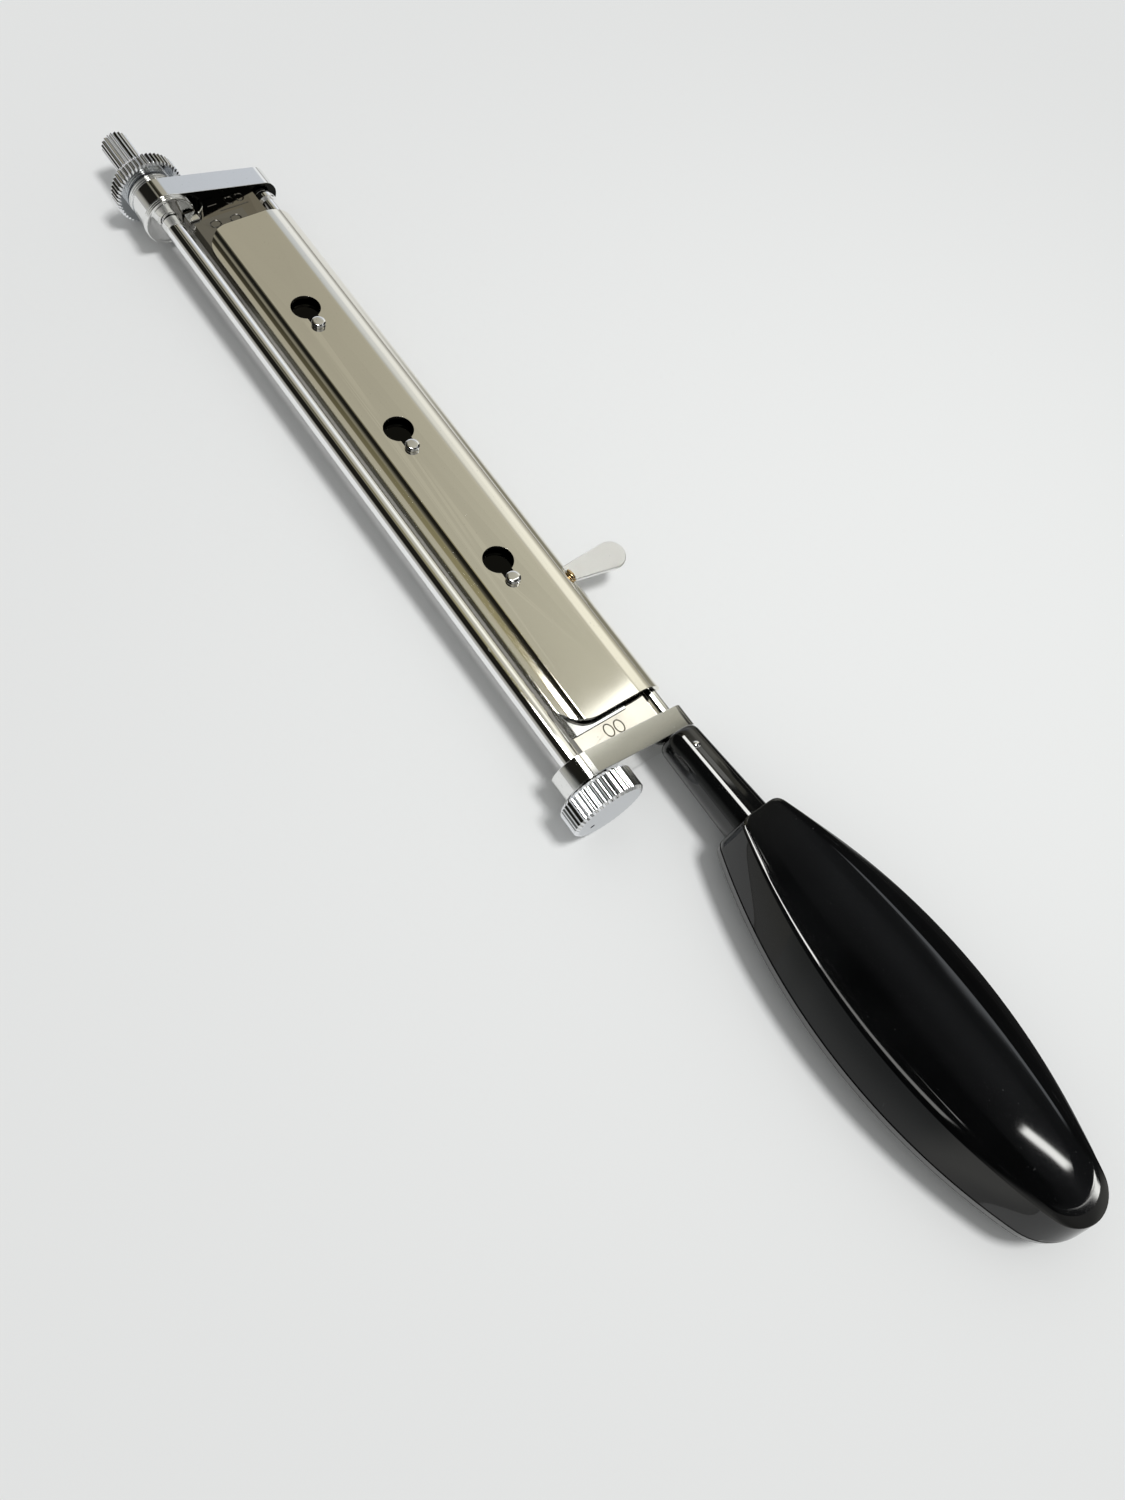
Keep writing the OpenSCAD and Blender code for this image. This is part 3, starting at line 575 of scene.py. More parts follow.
def black_gloss(name, haze, wave):
    """A polished black moulding with soft haze, shallow waves and dust."""
    material = bpy.data.materials.new(name)
    material.use_nodes = True
    tree = material.node_tree
    shader = tree.nodes["Principled BSDF"]
    marks = use_group(tree, marks_group, Smudge_Scale=38.0, Pit_Scale=1100.0, Pit_Threshold=0.765)
    colour = mix(tree, marks["Smudge"], BLACK, RUBBED_BLACK)
    colour = mix(tree, math_node(tree, "MULTIPLY", marks["Pits"], 0.5), colour, DUST)
    tree.links.new(colour, shader.inputs["Base Color"])
    dull = math_node(tree, "MULTIPLY_ADD", marks["Smudge"], 0.12, haze)
    dull = math_node(tree, "MULTIPLY_ADD", marks["Scratches"], 0.1, dull, clamp=True)
    tree.links.new(dull, shader.inputs["Roughness"])
    shader.inputs["Specular IOR Level"].default_value = 0.02
    shader.inputs["Coat Weight"].default_value = 1.0
    shader.inputs["Coat IOR"].default_value = MOULDING_IOR
    shader.inputs["Coat Roughness"].default_value = 0.04
    bumps = add(tree, "ShaderNodeBump")
    bumps.inputs["Strength"].default_value = 1.0
    bumps.inputs["Distance"].default_value = wave
    tree.links.new(noise(tree, object_place(tree), 45.0, 2.0, 0.4), bumps.inputs["Height"])
    tree.links.new(bumps.outputs[0], shader.inputs["Normal"])
    tree.links.new(bumps.outputs[0], shader.inputs["Coat Normal"])
    return material


handle_black = black_gloss("handle_black", 0.30, 0.00003)
neck_black = black_gloss("neck_black", 0.22, 0.00008)

# %% [markdown]
# ## Ways to make a piece
#
# A few small helpers serve every piece. `settle` turns modifiers into plain mesh. `dress` shades a
# piece, gives it its material and ties it to its moving body. `turned` makes anything from a lathe:
# a profile of places and radii is turned round an axis. `softened` takes a merged copy of a packed
# solid and breaks its sharp edges, because a real edge always catches a thin line of light. `carve`
# takes other pieces out of one.

# %% Helpers: settle, written, dress
def settle(piece):
    """Keeps what the modifiers make as the piece's own mesh."""
    depsgraph = bpy.context.evaluated_depsgraph_get()
    made = bpy.data.meshes.new_from_object(piece.evaluated_get(depsgraph), depsgraph=depsgraph)
    piece.modifiers.clear()
    old = piece.data
    piece.data = made
    bpy.data.meshes.remove(old)
    made.name = piece.name
    return piece


def new_piece(name, mesh):
    """An object for a mesh, put into the scene."""
    piece = bpy.data.objects.new(name, mesh)
    scene.collection.objects.link(piece)
    return piece


def written(bm, name):
    """A new piece that holds what was built in bm, which is closed."""
    mesh = bpy.data.meshes.new(name)
    bm.to_mesh(mesh)
    bm.free()
    return new_piece(name, mesh)


def dress(piece, material, body, slot, *nodes, sharp=35.0):
    """Shading, material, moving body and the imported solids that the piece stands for."""
    mesh = piece.data
    mesh.shade_smooth()
    mesh.set_sharp_from_angle(angle=math.radians(sharp))
    weigh = piece.modifiers.new("even_flats", "WEIGHTED_NORMAL")
    weigh.keep_sharp = True
    settle(piece)
    piece.data.materials.clear()
    piece.data.materials.append(material)
    if nodes:
        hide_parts(*nodes)
    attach(piece, body)
    print(f"{piece.name}: {len(piece.data.polygons)} faces")
    return piece


# %% Helpers: turned, carve and softened
def turned(name, profile, origin, axis=(1, 0, 0), steps=72, bore=False):
    """Turns (place, radius) pairs round an axis from origin; a bored profile is a closed loop."""
    bm = bmesh.new()
    angles = [2 * math.pi * step / steps for step in range(steps)]
    rings = []
    for place, radius in profile:
        if radius == 0:
            rings.append([bm.verts.new((0, 0, place * MM))])
            continue
        circle = [(radius * MM * math.cos(a), radius * MM * math.sin(a)) for a in angles]
        rings.append([bm.verts.new((x, y, place * MM)) for x, y in circle])
    followers = rings[1:] + rings[:1] if bore else rings[1:]
    for low, high in zip(rings, followers):
        for step in range(steps):
            after = (step + 1) % steps
            if len(low) == 1:
                bm.faces.new((low[0], high[after], high[step]))
            elif len(high) == 1:
                bm.faces.new((low[step], low[after], high[0]))
            else:
                bm.faces.new((low[step], low[after], high[after], high[step]))
    if not bore:
        for ring in (rings[0], rings[-1]):
            if len(ring) > 1:
                bm.faces.new(ring)
    bmesh.ops.recalc_face_normals(bm, faces=bm.faces)
    piece = written(bm, name)
    turn = Vector(axis).to_track_quat("Z", "Y").to_matrix().to_4x4()
    piece.data.transform(Matrix.Translation(origin) @ turn)
    return piece


def carve(piece, cutters):
    """Settles a piece with other pieces cut out of it; the cutters are used up."""
    for cutter in cutters:
        cut = piece.modifiers.new("cut", "BOOLEAN")
        cut.operation, cut.solver, cut.object = "DIFFERENCE", "EXACT", cutter
    settle(piece)
    for cutter in cutters:
        bpy.data.objects.remove(cutter)
    return piece


def merged(node):
    """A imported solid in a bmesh, its doubled points and the cuts in its flats merged away."""
    bm = bmesh.new()
    bm.from_mesh(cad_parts[node].data)
    bmesh.ops.remove_doubles(bm, verts=bm.verts, dist=0.002 * MM)
    bmesh.ops.dissolve_limit(bm, angle_limit=math.radians(0.4), verts=bm.verts, edges=bm.edges)
    return bm


def break_edges(piece, width, segments, angle=30):
    """Adds a bevel on edges sharper than an angle, its width in millimetres."""
    bevel = piece.modifiers.new("broken_edges", "BEVEL")
    bevel.limit_method = "ANGLE"
    bevel.angle_limit = math.radians(angle)
    bevel.width = width * MM
    bevel.segments = segments


def softened(node, name, width, segments, cutters=()):
    """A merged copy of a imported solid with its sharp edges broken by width, in millimetres."""
    piece = written(merged(node), name)
    break_edges(piece, width, segments)
    return carve(piece, cutters)


# %% [markdown]
# ## The blade cover
#
# The cover is one bent sheet: a thin lip and a slope in front, a flat top with three keyholes, a
# soft bend behind, and a roll that grips the rod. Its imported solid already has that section, so a
# softened copy is almost enough. A pressed sheet is never quite straight beside a bend, though, so
# the slope gets a slight hollow: it is cut along its length and the cuts are let down a little. The
# thumb tab is brazed to the bend, and a small bead of brass shows at its root.

# %% The hollow in the cover's slope
SLOPE_RUN, SLOPE_CUTS, HOLLOW = 3.0, 8, 0.14


def hollowed(node, name, width, segments):
    """A softened copy of the cover whose slope sags between its two bends."""
    bm = merged(node)
    for step in range(1, SLOPE_CUTS):
        everything = bm.verts[:] + bm.edges[:] + bm.faces[:]
        cut_at = at(0, -SLOPE_RUN * step / SLOPE_CUTS, 0)
        bmesh.ops.bisect_plane(bm, geom=everything, plane_co=cut_at, plane_no=(0, 1, 0), dist=1e-7)
    front = at(0, 0, 0).y
    for vert in bm.verts:
        share = (front - vert.co.y) / (SLOPE_RUN * MM)
        if 0.001 < share < 0.999:
            vert.co.z -= HOLLOW * MM * 4 * share * (1 - share)
    piece = written(bm, name)
    break_edges(piece, width, segments)
    return settle(piece)


# %% Cover, thumb tab and its brass bead
cover = hollowed("cover_plate", "blade_cover", 0.26, 3)
dress(cover, warm_nickel, "cover", "cover_plating", "cover_plate")
tab = softened("thumb_tab", "thumb_tab_leaf", 0.22, 3)
dress(tab, tab_satin, "cover", "knob_plating", "thumb_tab")
tab_low, tab_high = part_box("thumb_tab")
root = Vector(((tab_low[0] + tab_high[0]) / 2, tab_low[1] + 0.6 * MM, tab_high[2] - 0.25 * MM))
bead_profile = [(-1.7, 0), (-1.5, 0.35), (-0.9, 0.62), (0, 0.72), (0.9, 0.62), (1.5, 0.35), (1.7, 0)]
bead = turned("braze_bead", bead_profile, root, steps=24)
dress(bead, braze_brass, "cover", "knob_plating")
print("tab root at", [round(value / MM, 2) for value in root])

# %% [markdown]
# ## Base plate with its stamped marks
#
# The plate shows at both ends, where plain numbers and rings are punched into it. Each mark is a
# closed stroke, an oval drawn as a thin tube; Geometry Nodes repeat it in a row. The tubes are then
# cut out of the plate, half their thickness deep, so the marks have real walls that catch light.

# %% Helpers for geometry trees
def new_tree(name, inputs):
    """A geometry tree with named inputs, and its two end nodes."""
    tree = bpy.data.node_groups.new(name, "GeometryNodeTree")
    for label, kind, value in inputs:
        socket = tree.interface.new_socket(name=label, in_out="INPUT", socket_type=kind)
        if value is not None:
            socket.default_value = value
    tree.interface.new_socket(name="Geometry", in_out="OUTPUT", socket_type="NodeSocketGeometry")
    return tree, add(tree, "NodeGroupInput"), add(tree, "NodeGroupOutput")


def wire(tree, *pairs):
    """Links each output to its input."""
    for source, target in pairs:
        tree.links.new(source, target)


def repeat(tree, shape, count, step, first=None):
    """Copies of a shape in even steps along a line."""
    line = add(tree, "GeometryNodeMeshLine", mode="OFFSET")
    copies = add(tree, "GeometryNodeInstanceOnPoints")
    if first:
        tree.links.new(first, line.inputs["Start Location"])
    wire(
        tree,
        (count, line.inputs["Count"]),
        (step, line.inputs["Offset"]),
        (line.outputs["Mesh"], copies.inputs["Points"]),
        (shape, copies.inputs["Instance"]),
    )
    return copies.outputs["Instances"]


def send_out(tree, shape, start, end):
    """Makes copies real, paints them with the tree's material and sends them out."""
    real = add(tree, "GeometryNodeRealizeInstances")
    paint = add(tree, "GeometryNodeSetMaterial")
    wire(
        tree,
        (shape, real.inputs["Geometry"]),
        (real.outputs["Geometry"], paint.inputs["Geometry"]),
        (start.outputs["Material"], paint.inputs["Material"]),
        (paint.outputs["Geometry"], end.inputs["Geometry"]),
    )


def grow(name, tree, **values):
    """Runs a geometry tree with its inputs set and keeps the result as a plain mesh piece."""
    piece = new_piece(name, bpy.data.meshes.new(name))
    modifier = piece.modifiers.new("grown", "NODES")
    modifier.node_group = tree
    for item in tree.interface.items_tree:
        label = item.name.replace(" ", "_")
        if item.in_out == "INPUT" and label in values:
            modifier[item.identifier] = values[label]
    return settle(piece)


# %% Node tree: a row of one shape
row_tree, start, end = new_tree(
    "row_of_one_shape",
    [
        ("Shape", "NodeSocketObject", None),
        ("Count", "NodeSocketInt", 3),
        ("First", "NodeSocketVector", None),
        ("Step", "NodeSocketVector", None),
        ("Material", "NodeSocketMaterial", None),
    ],
)
info = add(row_tree, "GeometryNodeObjectInfo")
row_tree.links.new(start.outputs["Shape"], info.inputs["Object"])
given = start.outputs
copies = repeat(row_tree, info.outputs["Geometry"], given["Count"], given["Step"], given["First"])
send_out(row_tree, copies, start, end)


# %% The marks and the plate
def oval_stroke(name, width, height, stroke):
    """A closed oval tube lying flat round the origin, sizes in millimetres."""
    bm = bmesh.new()
    around, across = 40, 8
    for step in range(around):
        a = 2 * math.pi * step / around
        centre = Vector((width / 2 * math.cos(a), height / 2 * math.sin(a), 0))
        outward = Vector((math.cos(a) / width, math.sin(a) / height, 0)).normalized()
        for side in range(across):
            b = 2 * math.pi * side / across
            point = centre + outward * stroke * math.cos(b) + Vector((0, 0, stroke * math.sin(b)))
            bm.verts.new(point * MM)
    bm.verts.ensure_lookup_table()
    for step in range(around):
        for side in range(across):
            low, high = step * across, (step + 1) % around * across
            after = (side + 1) % across
            bm.faces.new([bm.verts[i] for i in (low + side, high + side, high + after, low + after)])
    bmesh.ops.recalc_face_normals(bm, faces=bm.faces)
    return written(bm, name)


def stamp(name, places, width, height, stroke=0.2, top=PLATE_TOP):
    """Ovals to cut from a face at a height, the first at one place and the rest in even steps."""
    shape = oval_stroke(name + "_shape", width, height, stroke)
    first, step, count = places
    first, step = at(*first, top), Vector((*step, 0)) * MM
    row = grow(name, row_tree, Shape=shape, Count=count, First=first, Step=step)
    bpy.data.objects.remove(shape)
    return row


FINE_STROKE = 0.16
far_line, far_tick = [(0, FINE_STROKE), (7.6, FINE_STROKE)], [(0, FINE_STROKE), (2.4, FINE_STROKE)]
stamps = [
    stamp("near_zeros", ((155.3, 3.6), (0.3, 2.5), 2), 3.0, 2.0, FINE_STROKE),
    stamp("far_zeros", ((-8.6, 8.2), (0.0, 2.7), 2), 2.3, 2.0),
    turned("far_line", far_line, at(-6.3, 4.6, PLATE_TOP), axis=(0, 1, 0), steps=8),
    turned("far_tick", far_tick, at(-8.7, 2.6, PLATE_TOP), axis=(0, 1, 0), steps=8),
]
plate = softened("base_plate", "base_plate_bright", 0.12, 1, cutters=stamps)
dress(plate, plate_steel, "frame", "plate_steel", "base_plate", sharp=25.0)

# %% The blade and the two rings at its far end
blade_low, blade_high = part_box("blade")
blade_top = blade_high[2] / MM
rings = stamp("far_rings", ((-2.6, 1.4), (0.2, 5.2), 2), 2.2, 2.6, 0.17, blade_top)
print("blade in mm:", [round(value / MM, 2) for value in (*blade_low, *blade_high)])
blade = softened("blade", "blade_bright", 0.05, 1, cutters=[rings])
dress(blade, blade_steel, "frame", "blade_steel", "blade", sharp=25.0)

# %% [markdown]
# ## Brackets, latch and rod
#
# The two brackets are thick arms with a boss in front and a round end behind. Copies of the solids
# get a soft edge of a quarter millimetre. The rod and its collar are turned, with small chamfers.

# %% Brackets and latch
ARMS = [
    ("near_bracket", 0.3, near_chrome),
    ("far_bracket", 0.3, far_chrome),
    ("blade_latch", 0.12, near_chrome),
]
for node, width, finish in ARMS:
    arm = softened(node, node + "_soft", width, 3)
    dress(arm, finish, "frame", "bracket_plating", node)

# %% Rod and its collar
ROD_X, ROD_LEN, CHAMFER = FAR_X - 2.95, 173.8, 0.3
end_r = ROD_R - CHAMFER
bar = [(0, end_r), (CHAMFER, ROD_R), (ROD_LEN - CHAMFER, ROD_R), (ROD_LEN, end_r)]
rod = turned("rear_rod", bar, at(ROD_X, ROD_Y, ROD_Z))
dress(rod, bar_chrome, "frame", "rod_steel", "hinge_rod")
ring = [(0, 2.02), (0, 2.5), (0.2, 2.7), (1.4, 2.7), (1.6, 2.5), (1.6, 2.02)]
collar = turned("rod_ring", ring, at(FAR_X + 1.2, ROD_Y, ROD_Z), bore=True)
dress(collar, bar_chrome, "frame", "rod_steel", "rod_collar")

# %% [markdown]
# ## Guard roller and its bearings
#
# The roller is a long polished tube with chamfered ends, turned like the rod. Flange and collar at
# the far bracket carry raised beads: the core is turned, and Geometry Nodes set the beads on it,
# one ring repeated along the axis, so their number and spacing stay single values.

# %% Roller and bush
ROLLER_BORE_R, ROLLER_PLAY, CHAMFER = 1.25, 0.3, 0.4
roller_start = FAR_X + FLANGE_LEN + ROLLER_PLAY
roller_len = NEAR_X - ROLLER_PLAY - roller_start
end_r = ROLLER_R - CHAMFER
tube = [(0, ROLLER_BORE_R), (0, end_r), (CHAMFER, ROLLER_R)]
tube += [(roller_len - CHAMFER, ROLLER_R), (roller_len, end_r), (roller_len, ROLLER_BORE_R)]
roller = turned("guard_roller_tube", tube, at(roller_start, CORE_Y, CORE_Z), bore=True)
dress(roller, bar_chrome, "guard_roller", "rod_steel", "roller")
bush_profile = [(0, BEARING_BORE_R), (0, 4.6), (0.15, 4.8)]
bush_profile += [(BUSH_LEN - 0.15, 4.8), (BUSH_LEN, 4.6), (BUSH_LEN, BEARING_BORE_R)]
bush = turned("knob_bush", bush_profile, at(NEAR_OUT_X, AXIS_Y, AXIS_Z), bore=True)
dress(bush, near_chrome, "frame", "inner_steel", "near_bush")

# %% Node tree: beads along an axis
bead_tree, start, end = new_tree(
    "beads_along_axis",
    [
        ("Radius", "NodeSocketFloat", 0.006),
        ("Bead", "NodeSocketFloat", 0.0002),
        ("Count", "NodeSocketInt", 3),
        ("Pitch", "NodeSocketFloat", 0.0006),
        ("Material", "NodeSocketMaterial", None),
    ],
)
hoop = add(bead_tree, "GeometryNodeCurvePrimitiveCircle")
hoop.inputs["Resolution"].default_value = 96
section = add(bead_tree, "GeometryNodeCurvePrimitiveCircle")
section.inputs["Resolution"].default_value = 14
bead = add(bead_tree, "GeometryNodeCurveToMesh")
step = add(bead_tree, "ShaderNodeCombineXYZ")
wire(
    bead_tree,
    (start.outputs["Radius"], hoop.inputs["Radius"]),
    (start.outputs["Bead"], section.inputs["Radius"]),
    (hoop.outputs["Curve"], bead.inputs["Curve"]),
    (section.outputs["Curve"], bead.inputs["Profile Curve"]),
    (start.outputs["Pitch"], step.inputs["Z"]),
)
copies = repeat(bead_tree, bead.outputs["Mesh"], start.outputs["Count"], step.outputs[0])
send_out(bead_tree, copies, start, end)


# %% Flange and collar with their beads
def join(name, pieces):
    """Several pieces as one mesh."""
    bm = bmesh.new()
    for piece in pieces:
        bm.from_mesh(piece.data)
        bpy.data.objects.remove(piece)
    return written(bm, name)


def lay_on_axis(piece, x):
    """Turns a piece that was made along Z, so that it lies on the setting axis from x on."""
    lay = Matrix.Rotation(math.radians(90), 4, "Y")
    piece.data.transform(Matrix.Translation(at(x, AXIS_Y, AXIS_Z)) @ lay)


BEADS = 3


def beaded(name, x, radius, width, node):
    """A bored ring whose rim carries three beads."""
    bead_r = width / (2 * BEADS)
    core_r = radius - bead_r * 1.2
    inner_x = width - 0.25
    profile = [(0, BEARING_BORE_R), (0, core_r), (width, core_r), (width, core_r - 0.5)]
    profile += [(inner_x, core_r - 0.9), (inner_x, BEARING_BORE_R)]
    core = turned(name + "_core", profile, at(x, AXIS_Y, AXIS_Z), bore=True, steps=96)
    beads = grow(
        name + "_beads", bead_tree,
        Radius=(radius - bead_r) * MM, Bead=bead_r * MM * 0.96,
        Count=BEADS, Pitch=width / BEADS * MM, Material=near_chrome,
    )
    lay_on_axis(beads, x + bead_r)
    return dress(join(name, [core, beads]), near_chrome, "frame", "bracket_plating", node, sharp=40.0)


beaded("ringed_flange", FAR_X, 6.4, FLANGE_LEN, "far_flange")
beaded("ringed_collar", FAR_OUT_X - COLLAR_LEN, 5.95, COLLAR_LEN, "far_collar")

# %% [markdown]
# ## Fluted knob, lock nut and grip
#
# All three have straight flutes round their edge and a chamfer at each end, so one geometry tree
# makes them all. A circle with many points gets its radius lowered by a wave, one wave for each
# flute. A line of four points then carries that outline along the axis, smaller at both ends.

# %% Node tree: a fluted bar
flute_tree, start, end = new_tree(
    "fluted_bar",
    [
        ("Radius", "NodeSocketFloat", 0.0085),
        ("Length", "NodeSocketFloat", 0.006),
        ("Flutes", "NodeSocketInt", 40),
        ("Depth", "NodeSocketFloat", 0.0004),
        ("Chamfer", "NodeSocketFloat", 0.0005),
        ("Steps", "NodeSocketInt", 12),
        ("Material", "NodeSocketMaterial", None),
    ],
)
T = flute_tree
ring = add(T, "GeometryNodeCurvePrimitiveCircle")
ring.inputs["Radius"].default_value = 1.0
position = add(T, "GeometryNodeInputPosition").outputs[0]
parts = split(T, position)
around = math_node(T, "ARCTAN2", parts["Y"], parts["X"])
wave = math_node(T, "COSINE", math_node(T, "MULTIPLY", around, start.outputs["Flutes"]))
wave = math_node(T, "MULTIPLY_ADD", wave, 0.5, 0.5)
share = math_node(T, "DIVIDE", start.outputs["Depth"], start.outputs["Radius"])
rim = math_node(T, "SUBTRACT", 1.0, math_node(T, "MULTIPLY", wave, share))
scaled = add(T, "ShaderNodeVectorMath", operation="SCALE")
outline = add(T, "GeometryNodeSetPosition")
around_count = math_node(T, "MULTIPLY", start.outputs["Flutes"], start.outputs["Steps"])
wire(
    T,
    (around_count, ring.inputs["Resolution"]),
    (position, scaled.inputs[0]),
    (rim, scaled.inputs["Scale"]),
    (ring.outputs["Curve"], outline.inputs["Geometry"]),
    (scaled.outputs[0], outline.inputs["Position"]),
)
index = add(T, "GeometryNodeInputIndex").outputs[0]
past = [math_node(T, "GREATER_THAN", index, limit) for limit in (0.5, 1.5, 2.5)]
inner = math_node(T, "MULTIPLY_ADD", start.outputs["Chamfer"], -2.0, start.outputs["Length"])
height = math_node(T, "MULTIPLY", past[0], start.outputs["Chamfer"])
height = math_node(T, "MULTIPLY_ADD", past[1], inner, height)
height = math_node(T, "MULTIPLY_ADD", past[2], start.outputs["Chamfer"], height)
middle = math_node(T, "SUBTRACT", past[0], past[2])
ends = math_node(T, "MULTIPLY", math_node(T, "SUBTRACT", 1.0, middle), start.outputs["Chamfer"])
width = math_node(T, "SUBTRACT", start.outputs["Radius"], ends)
points = add(T, "GeometryNodeMeshLine")
points.inputs["Count"].default_value = 4
lifted = add(T, "ShaderNodeCombineXYZ")
moved = add(T, "GeometryNodeSetPosition")
path = add(T, "GeometryNodeMeshToCurve")
solid = add(T, "GeometryNodeCurveToMesh")
solid.inputs["Fill Caps"].default_value = True
wire(
    T,
    (height, lifted.inputs["Z"]),
    (points.outputs["Mesh"], moved.inputs["Geometry"]),
    (lifted.outputs[0], moved.inputs["Position"]),
    (moved.outputs["Geometry"], path.inputs["Mesh"]),
    (path.outputs["Curve"], solid.inputs["Curve"]),
    (width, solid.inputs["Scale"]),
    (outline.outputs["Geometry"], solid.inputs["Profile Curve"]),
)
send_out(T, solid.outputs["Mesh"], start, end)


# %% Knob, lock nut and grip
def fluted(name, x, radius, length, flutes, depth, chamfer, node, body, cut=None):
    """A fluted piece laid along the setting axis, with an optional hole."""
    piece = grow(
        name, flute_tree,
        Radius=radius * MM, Length=length * MM, Flutes=flutes, Depth=depth * MM, Chamfer=chamfer * MM,
        Steps=12, Material=knob_chrome,
    )
    lay_on_axis(piece, x)
    bm = bmesh.new()
    bm.from_mesh(piece.data)
    bmesh.ops.remove_doubles(bm, verts=bm.verts, dist=0.0005 * MM)
    bmesh.ops.recalc_face_normals(bm, faces=bm.faces)
    bm.to_mesh(piece.data)
    bm.free()
    if cut:
        carve(piece, [cut])
    return dress(piece, knob_chrome, body, "knob_plating", node, sharp=28.0)


PIN_TURN, PIN_AT, HOLE_R = math.radians(-60), 4.6, 0.56
NUT_LEN, GRIP_LEN = 4.0, 14.6
pin_y = AXIS_Y + PIN_AT * math.sin(PIN_TURN)
pin_z = AXIS_Z - PIN_AT * math.cos(PIN_TURN)
knob_x = NEAR_OUT_X + BUSH_LEN + CLEAR
pin_hole = turned("pin_hole", [(0, HOLE_R), (8, HOLE_R)], at(knob_x + 0.3, pin_y, pin_z), steps=24)
fluted("gap_knob", knob_x, 8.55, 6.0, 40, 0.45, 0.6, "near_knob", "spindle", pin_hole)
nut_x = FAR_OUT_X - COLLAR_LEN - CLEAR - NUT_LEN
fluted("lock_nut_disc", nut_x, 8.5, NUT_LEN, 50, 0.42, 0.5, "lock_nut", "nut")
fluted("setting_grip", nut_x - CLEAR - GRIP_LEN, 3.45, GRIP_LEN, 20, 0.34, 0.6, "tip_grip", "spindle")

# %% [markdown]
# ## Studs
#
# Three small studs stand in the keyholes. One is turned, with a flat chamfered head, and the row tree
# that set the stamped marks repeats it at the keyholes' distance.

# %% Studs
KEYHOLE_X, SLIDE, KEYHOLE_PITCH, KEYHOLE_Y, STUD_Z = 30.6, 5.7, 39.8, 6.1, 7.4
head = [(0, 1.15), (3.55, 1.15), (3.56, 1.5), (3.7, 1.65)]
head += [(4.3, 1.65), (4.5, 1.45), (4.57, 1.1), (4.6, 0)]
stud = turned("one_stud", head, (0, 0, 0), axis=(0, 0, 1), steps=40)
studs = grow(
    "cover_studs", row_tree,
    Shape=stud, Count=3, First=at(KEYHOLE_X + SLIDE, KEYHOLE_Y, STUD_Z),
    Step=Vector((KEYHOLE_PITCH, 0, 0)) * MM, Material=bar_chrome,
)
bpy.data.objects.remove(stud)
dress(studs, bar_chrome, "frame", "rod_steel", "studs")

# %% [markdown]
# ## Neck and its pin
#
# The neck is a black round bar with a rounded front edge that widens slowly towards the handle. It
# points two degrees to the back, as the handle does. A bright pin crosses it, domed at the top.

# %% Neck and pin
YAW = math.radians(2)
NECK_LEN, NECK_END, TANG_BORE_R, SOCKET_R = 23.5, 27.5, 2.02, 4.5
along = Vector((math.cos(YAW), math.sin(YAW), 0))
neck_start = at(NEAR_OUT_X, NECK_Y, NECK_Z) + along * 0.167 * MM
profile = [(0, TANG_BORE_R), (0, 3.3), (0.12, 3.7), (0.4, 4.12), (0.8, 4.42), (1.3, 4.6), (1.9, 4.7)]
profile += [(NECK_LEN, 5.55), (NECK_LEN + 0.01, SOCKET_R)]
profile += [(NECK_END, SOCKET_R), (NECK_END, TANG_BORE_R)]
neck = turned("black_neck", profile, neck_start, axis=along, bore=True, steps=96)
dress(neck, neck_black, "frame", "black_moulding", "neck", sharp=50.0)
pin_profile = [(-4.65, 0), (-4.6, 0.5), (-4.4, 0.95), (4.65, 0.95), (4.8, 0.85), (4.98, 0.5), (5.05, 0)]
pin = turned("neck_rivet", pin_profile, neck_start + along * 5.0 * MM, axis=(0, 0, 1), steps=40)
dress(pin, bar_chrome, "frame", "rod_steel", "neck_pin", sharp=50.0)

# %% [markdown]
# ## The handle
#
# The handle is a flat leaf. Its widest outline lies at half height, where the two halves of the
# mould met; from there the walls rise to the edge of the upper face, which is slightly crowned.
# All outlines belong to one family: two long arcs closed by a round tail. The body is a stack of
# such loops, and points with the same number lie above each other, which keeps the edges clean.
# The wall swells a little, the edge and the crown's border are replaced by short curves, and a thin
# groove above the widest band marks the parting line. The border of the face falls away by the same
# small angle all round, so it doesn't flash in the lamp where the outlines run together. The crown
# grows from nothing at the front, and each outline turns in with a small round corner there.

# %% Outlines of the handle
HANDLE_T, BELLY, POINTS = 16.0, 49.0, 110
CORNER_R = 1.9
# An outline: its length, half its width at the belly and the radius of its long arcs.
WIDEST = (98.2, 18.594, 126.0)
FACE = (97.0, 13.4, 147.0)
CROWN_FLAT = (92.5, 10.2, 203.0)


def leaf(length, half, side_r):
    """One side of an outline, in even steps from its rounded front corner to the tail's tip."""
    a, b = length - BELLY, side_r - half
    tail = (side_r * side_r - a * a - b * b) / (2 * (side_r - a))
    tail_u = length - tail
    front = math.acos(-BELLY / side_r)
    meet = math.atan2(side_r - half, tail_u - BELLY)
    turns = np.linspace(front, meet, 400)
    side = [(BELLY + side_r * math.cos(t), half - side_r + side_r * math.sin(t)) for t in turns]
    turns = np.linspace(meet, 0, 200)[1:]
    round_end = [(tail_u + tail * math.cos(t), tail * math.sin(t)) for t in turns]
    points = np.array(side + round_end)
    run = np.concatenate([[0], np.cumsum(np.linalg.norm(np.diff(points, axis=0), axis=1))])
    even = np.linspace(0, run[-1], POINTS)
    line = np.stack([np.interp(even, run, points[:, 0]), np.interp(even, run, points[:, 1])], axis=1)
    front_v = line[0, 1]
    before, corner, after = np.array([0.0, front_v - CORNER_R]), np.array([0.0, front_v]), line[2]
    times = np.linspace(0, 1, 9)
    turn_in = [(1 - t) ** 2 * before + 2 * t * (1 - t) * corner + t * t * after for t in times]
    return np.concatenate([turn_in, line[3:]])


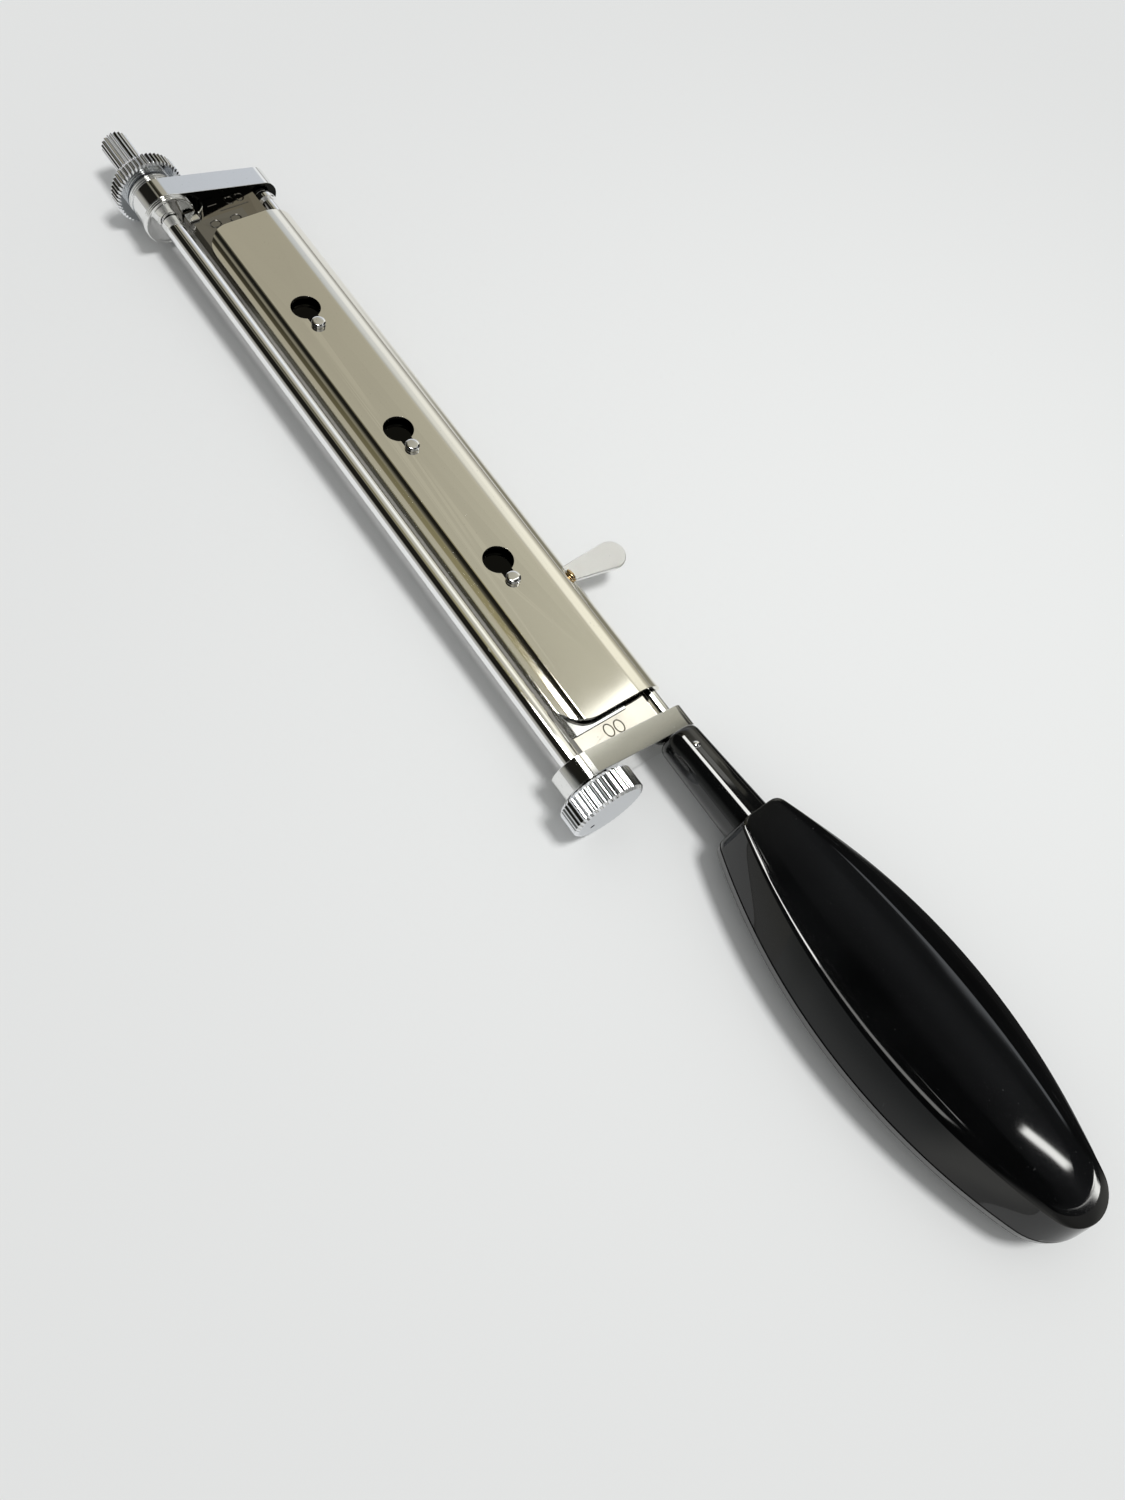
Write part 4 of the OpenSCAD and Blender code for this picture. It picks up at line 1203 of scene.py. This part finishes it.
widest, face, crown_flat = leaf(*WIDEST), leaf(*FACE), leaf(*CROWN_FLAT)
spine = np.stack([np.linspace(3.0, 86.0, len(widest)), np.zeros(len(widest))], axis=1)


def outline(blend):
    """An outline: 0 the widest, 1 the upper face's edge, 2 the crown's flat, 3 the middle line."""
    rings = (widest, face, crown_flat, spine)
    low = min(2, int(blend))
    return rings[low] * (1 - blend + low) + rings[low + 1] * (blend - low)


# %% Section of the handle
SWELL, GROOVE = 0.18, 0.20
EDGE_Z, HALF_T = 7.4, HANDLE_T / 2


def eased(before, corner, after, reach, steps):
    """A short curve in place of a corner; reach gives its shares of the sides before and after."""
    b, c, a = (np.array(p, float) for p in (before, corner, after))
    times = np.linspace(0, 1, steps)
    return [c + (b - c) * reach[0] * (1 - t) ** 2 + (a - c) * reach[1] * t ** 2 for t in times]


# The upper half of the section, as (outline, height over the middle): the widest band, the groove of
# the parting line, the wall, the rounded edge, the crown's border and the crown.
LAND, LINE, LIP = 0.9, 0.3, 0.05
wall_z = LAND + LINE
times = np.linspace(0.02, 0.93, 9)
wall = [(t, wall_z + (EDGE_Z - wall_z) * t + SWELL * math.sin(math.pi * t)) for t in times]
upper = [(0.0, 0.0), (0.0, LAND - LIP), (GROOVE / 5, LAND), (GROOVE / 5, wall_z - LIP)] + wall
edge, border, middle = (1.0, EDGE_Z), (2.0, HALF_T - LIP), (3.0, HALF_T)
upper += eased(wall[-1], edge, (2.0, HALF_T), (0.9, 0.55), 13)
upper += [(1.5, EDGE_Z + 0.3)] + eased(edge, border, middle, (0.25, 0.1), 5)
upper += [(2 + t, HALF_T) for t in np.linspace(0.35, 1.0, 8)]
section = [(blend, NECK_Z - z) for blend, z in upper[::-1]]
section += [(blend, NECK_Z + z) for blend, z in upper[1:]]
print("handle section has", len(section), "levels of", 2 * len(widest) - 1, "points")


# %% The handle's loops and body
CROWN_RISE, CROWN_HALF, CROWN_GROWS = 0.30, 11.5, 30
TAIL_FALL, TAIL_FROM, TAIL_RUN = 0.35, 72, 20


def crown(u, v, blend):
    """Rise of the crowned face above its flat, in millimetres."""
    inside = max(0.0, min(1.0, (blend - 1.6) / 0.4))
    half, side_r = CROWN_FLAT[1:]
    border_v = half - side_r + math.sqrt(side_r ** 2 - (u - BELLY) ** 2)
    arch = CROWN_RISE * (1 - (v ** 2 + half ** 2 - border_v ** 2) / CROWN_HALF ** 2)
    arch *= math.sqrt(min(1.0, max(0.0, u / CROWN_GROWS)))
    fall = TAIL_FALL * max(0.0, (u - TAIL_FROM) / TAIL_RUN) ** 2
    return inside * (arch - fall)


bm = bmesh.new()
loops = []
FACE_TILT = 0.14
edge_heights = HALF_T - FACE_TILT * np.linalg.norm(face - crown_flat, axis=1)
for blend, z in section:
    up, height = (1, z - NECK_Z) if z > NECK_Z else (-1, NECK_Z - z)
    level = edge_heights * height / EDGE_Z
    if height > EDGE_Z:
        level = HALF_T - (HALF_T - edge_heights) * (HALF_T - height) / (HALF_T - EDGE_Z)
    side = [
        (u, v, NECK_Z + up * (h + crown(u, v, blend) * (up > 0)))
        for (u, v), h in zip(outline(blend), level)
    ]
    both = side + [(u, -v, w) for u, v, w in side[-2::-1]]
    loops.append([bm.verts.new((u * MM, v * MM, w * MM)) for u, v, w in both])
for low, high in zip(loops, loops[1:]):
    count = len(low)
    for step in range(count):
        after = (step + 1) % count
        bm.faces.new((low[step], low[after], high[after], high[step]))
bmesh.ops.remove_doubles(bm, verts=bm.verts, dist=0.003 * MM)
bmesh.ops.holes_fill(bm, edges=[edge for edge in bm.edges if edge.is_boundary], sides=0)
bmesh.ops.recalc_face_normals(bm, faces=bm.faces)
handle = written(bm, "leaf_handle")
front_run = 0.1666 + NECK_LEN
handle_front = at(NEAR_OUT_X + front_run, NECK_Y + front_run * math.tan(YAW), 0)
handle.data.transform(Matrix.Translation(handle_front) @ Matrix.Rotation(YAW, 4, "Z"))
break_edges(handle, 1.0, 4, angle=50)
settle(handle)
dress(handle, handle_black, "frame", "black_moulding", "handle", sharp=60.0)

# %% [markdown]
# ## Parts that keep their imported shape
#
# The spindle, the pins and the tang are simple and mostly hidden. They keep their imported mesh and
# only get a finish.

# %% Finishes for the kept parts
kept = {
    "setting_spindle": bar_chrome,
    "knob_pin": pin_shadow,
    "plate_pins": hidden_steel,
    "tang": hidden_steel,
}
for node, material in kept.items():
    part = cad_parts[node]
    part.data.materials.clear()
    part.data.materials.append(material)
print("kept parts:", sorted(kept))
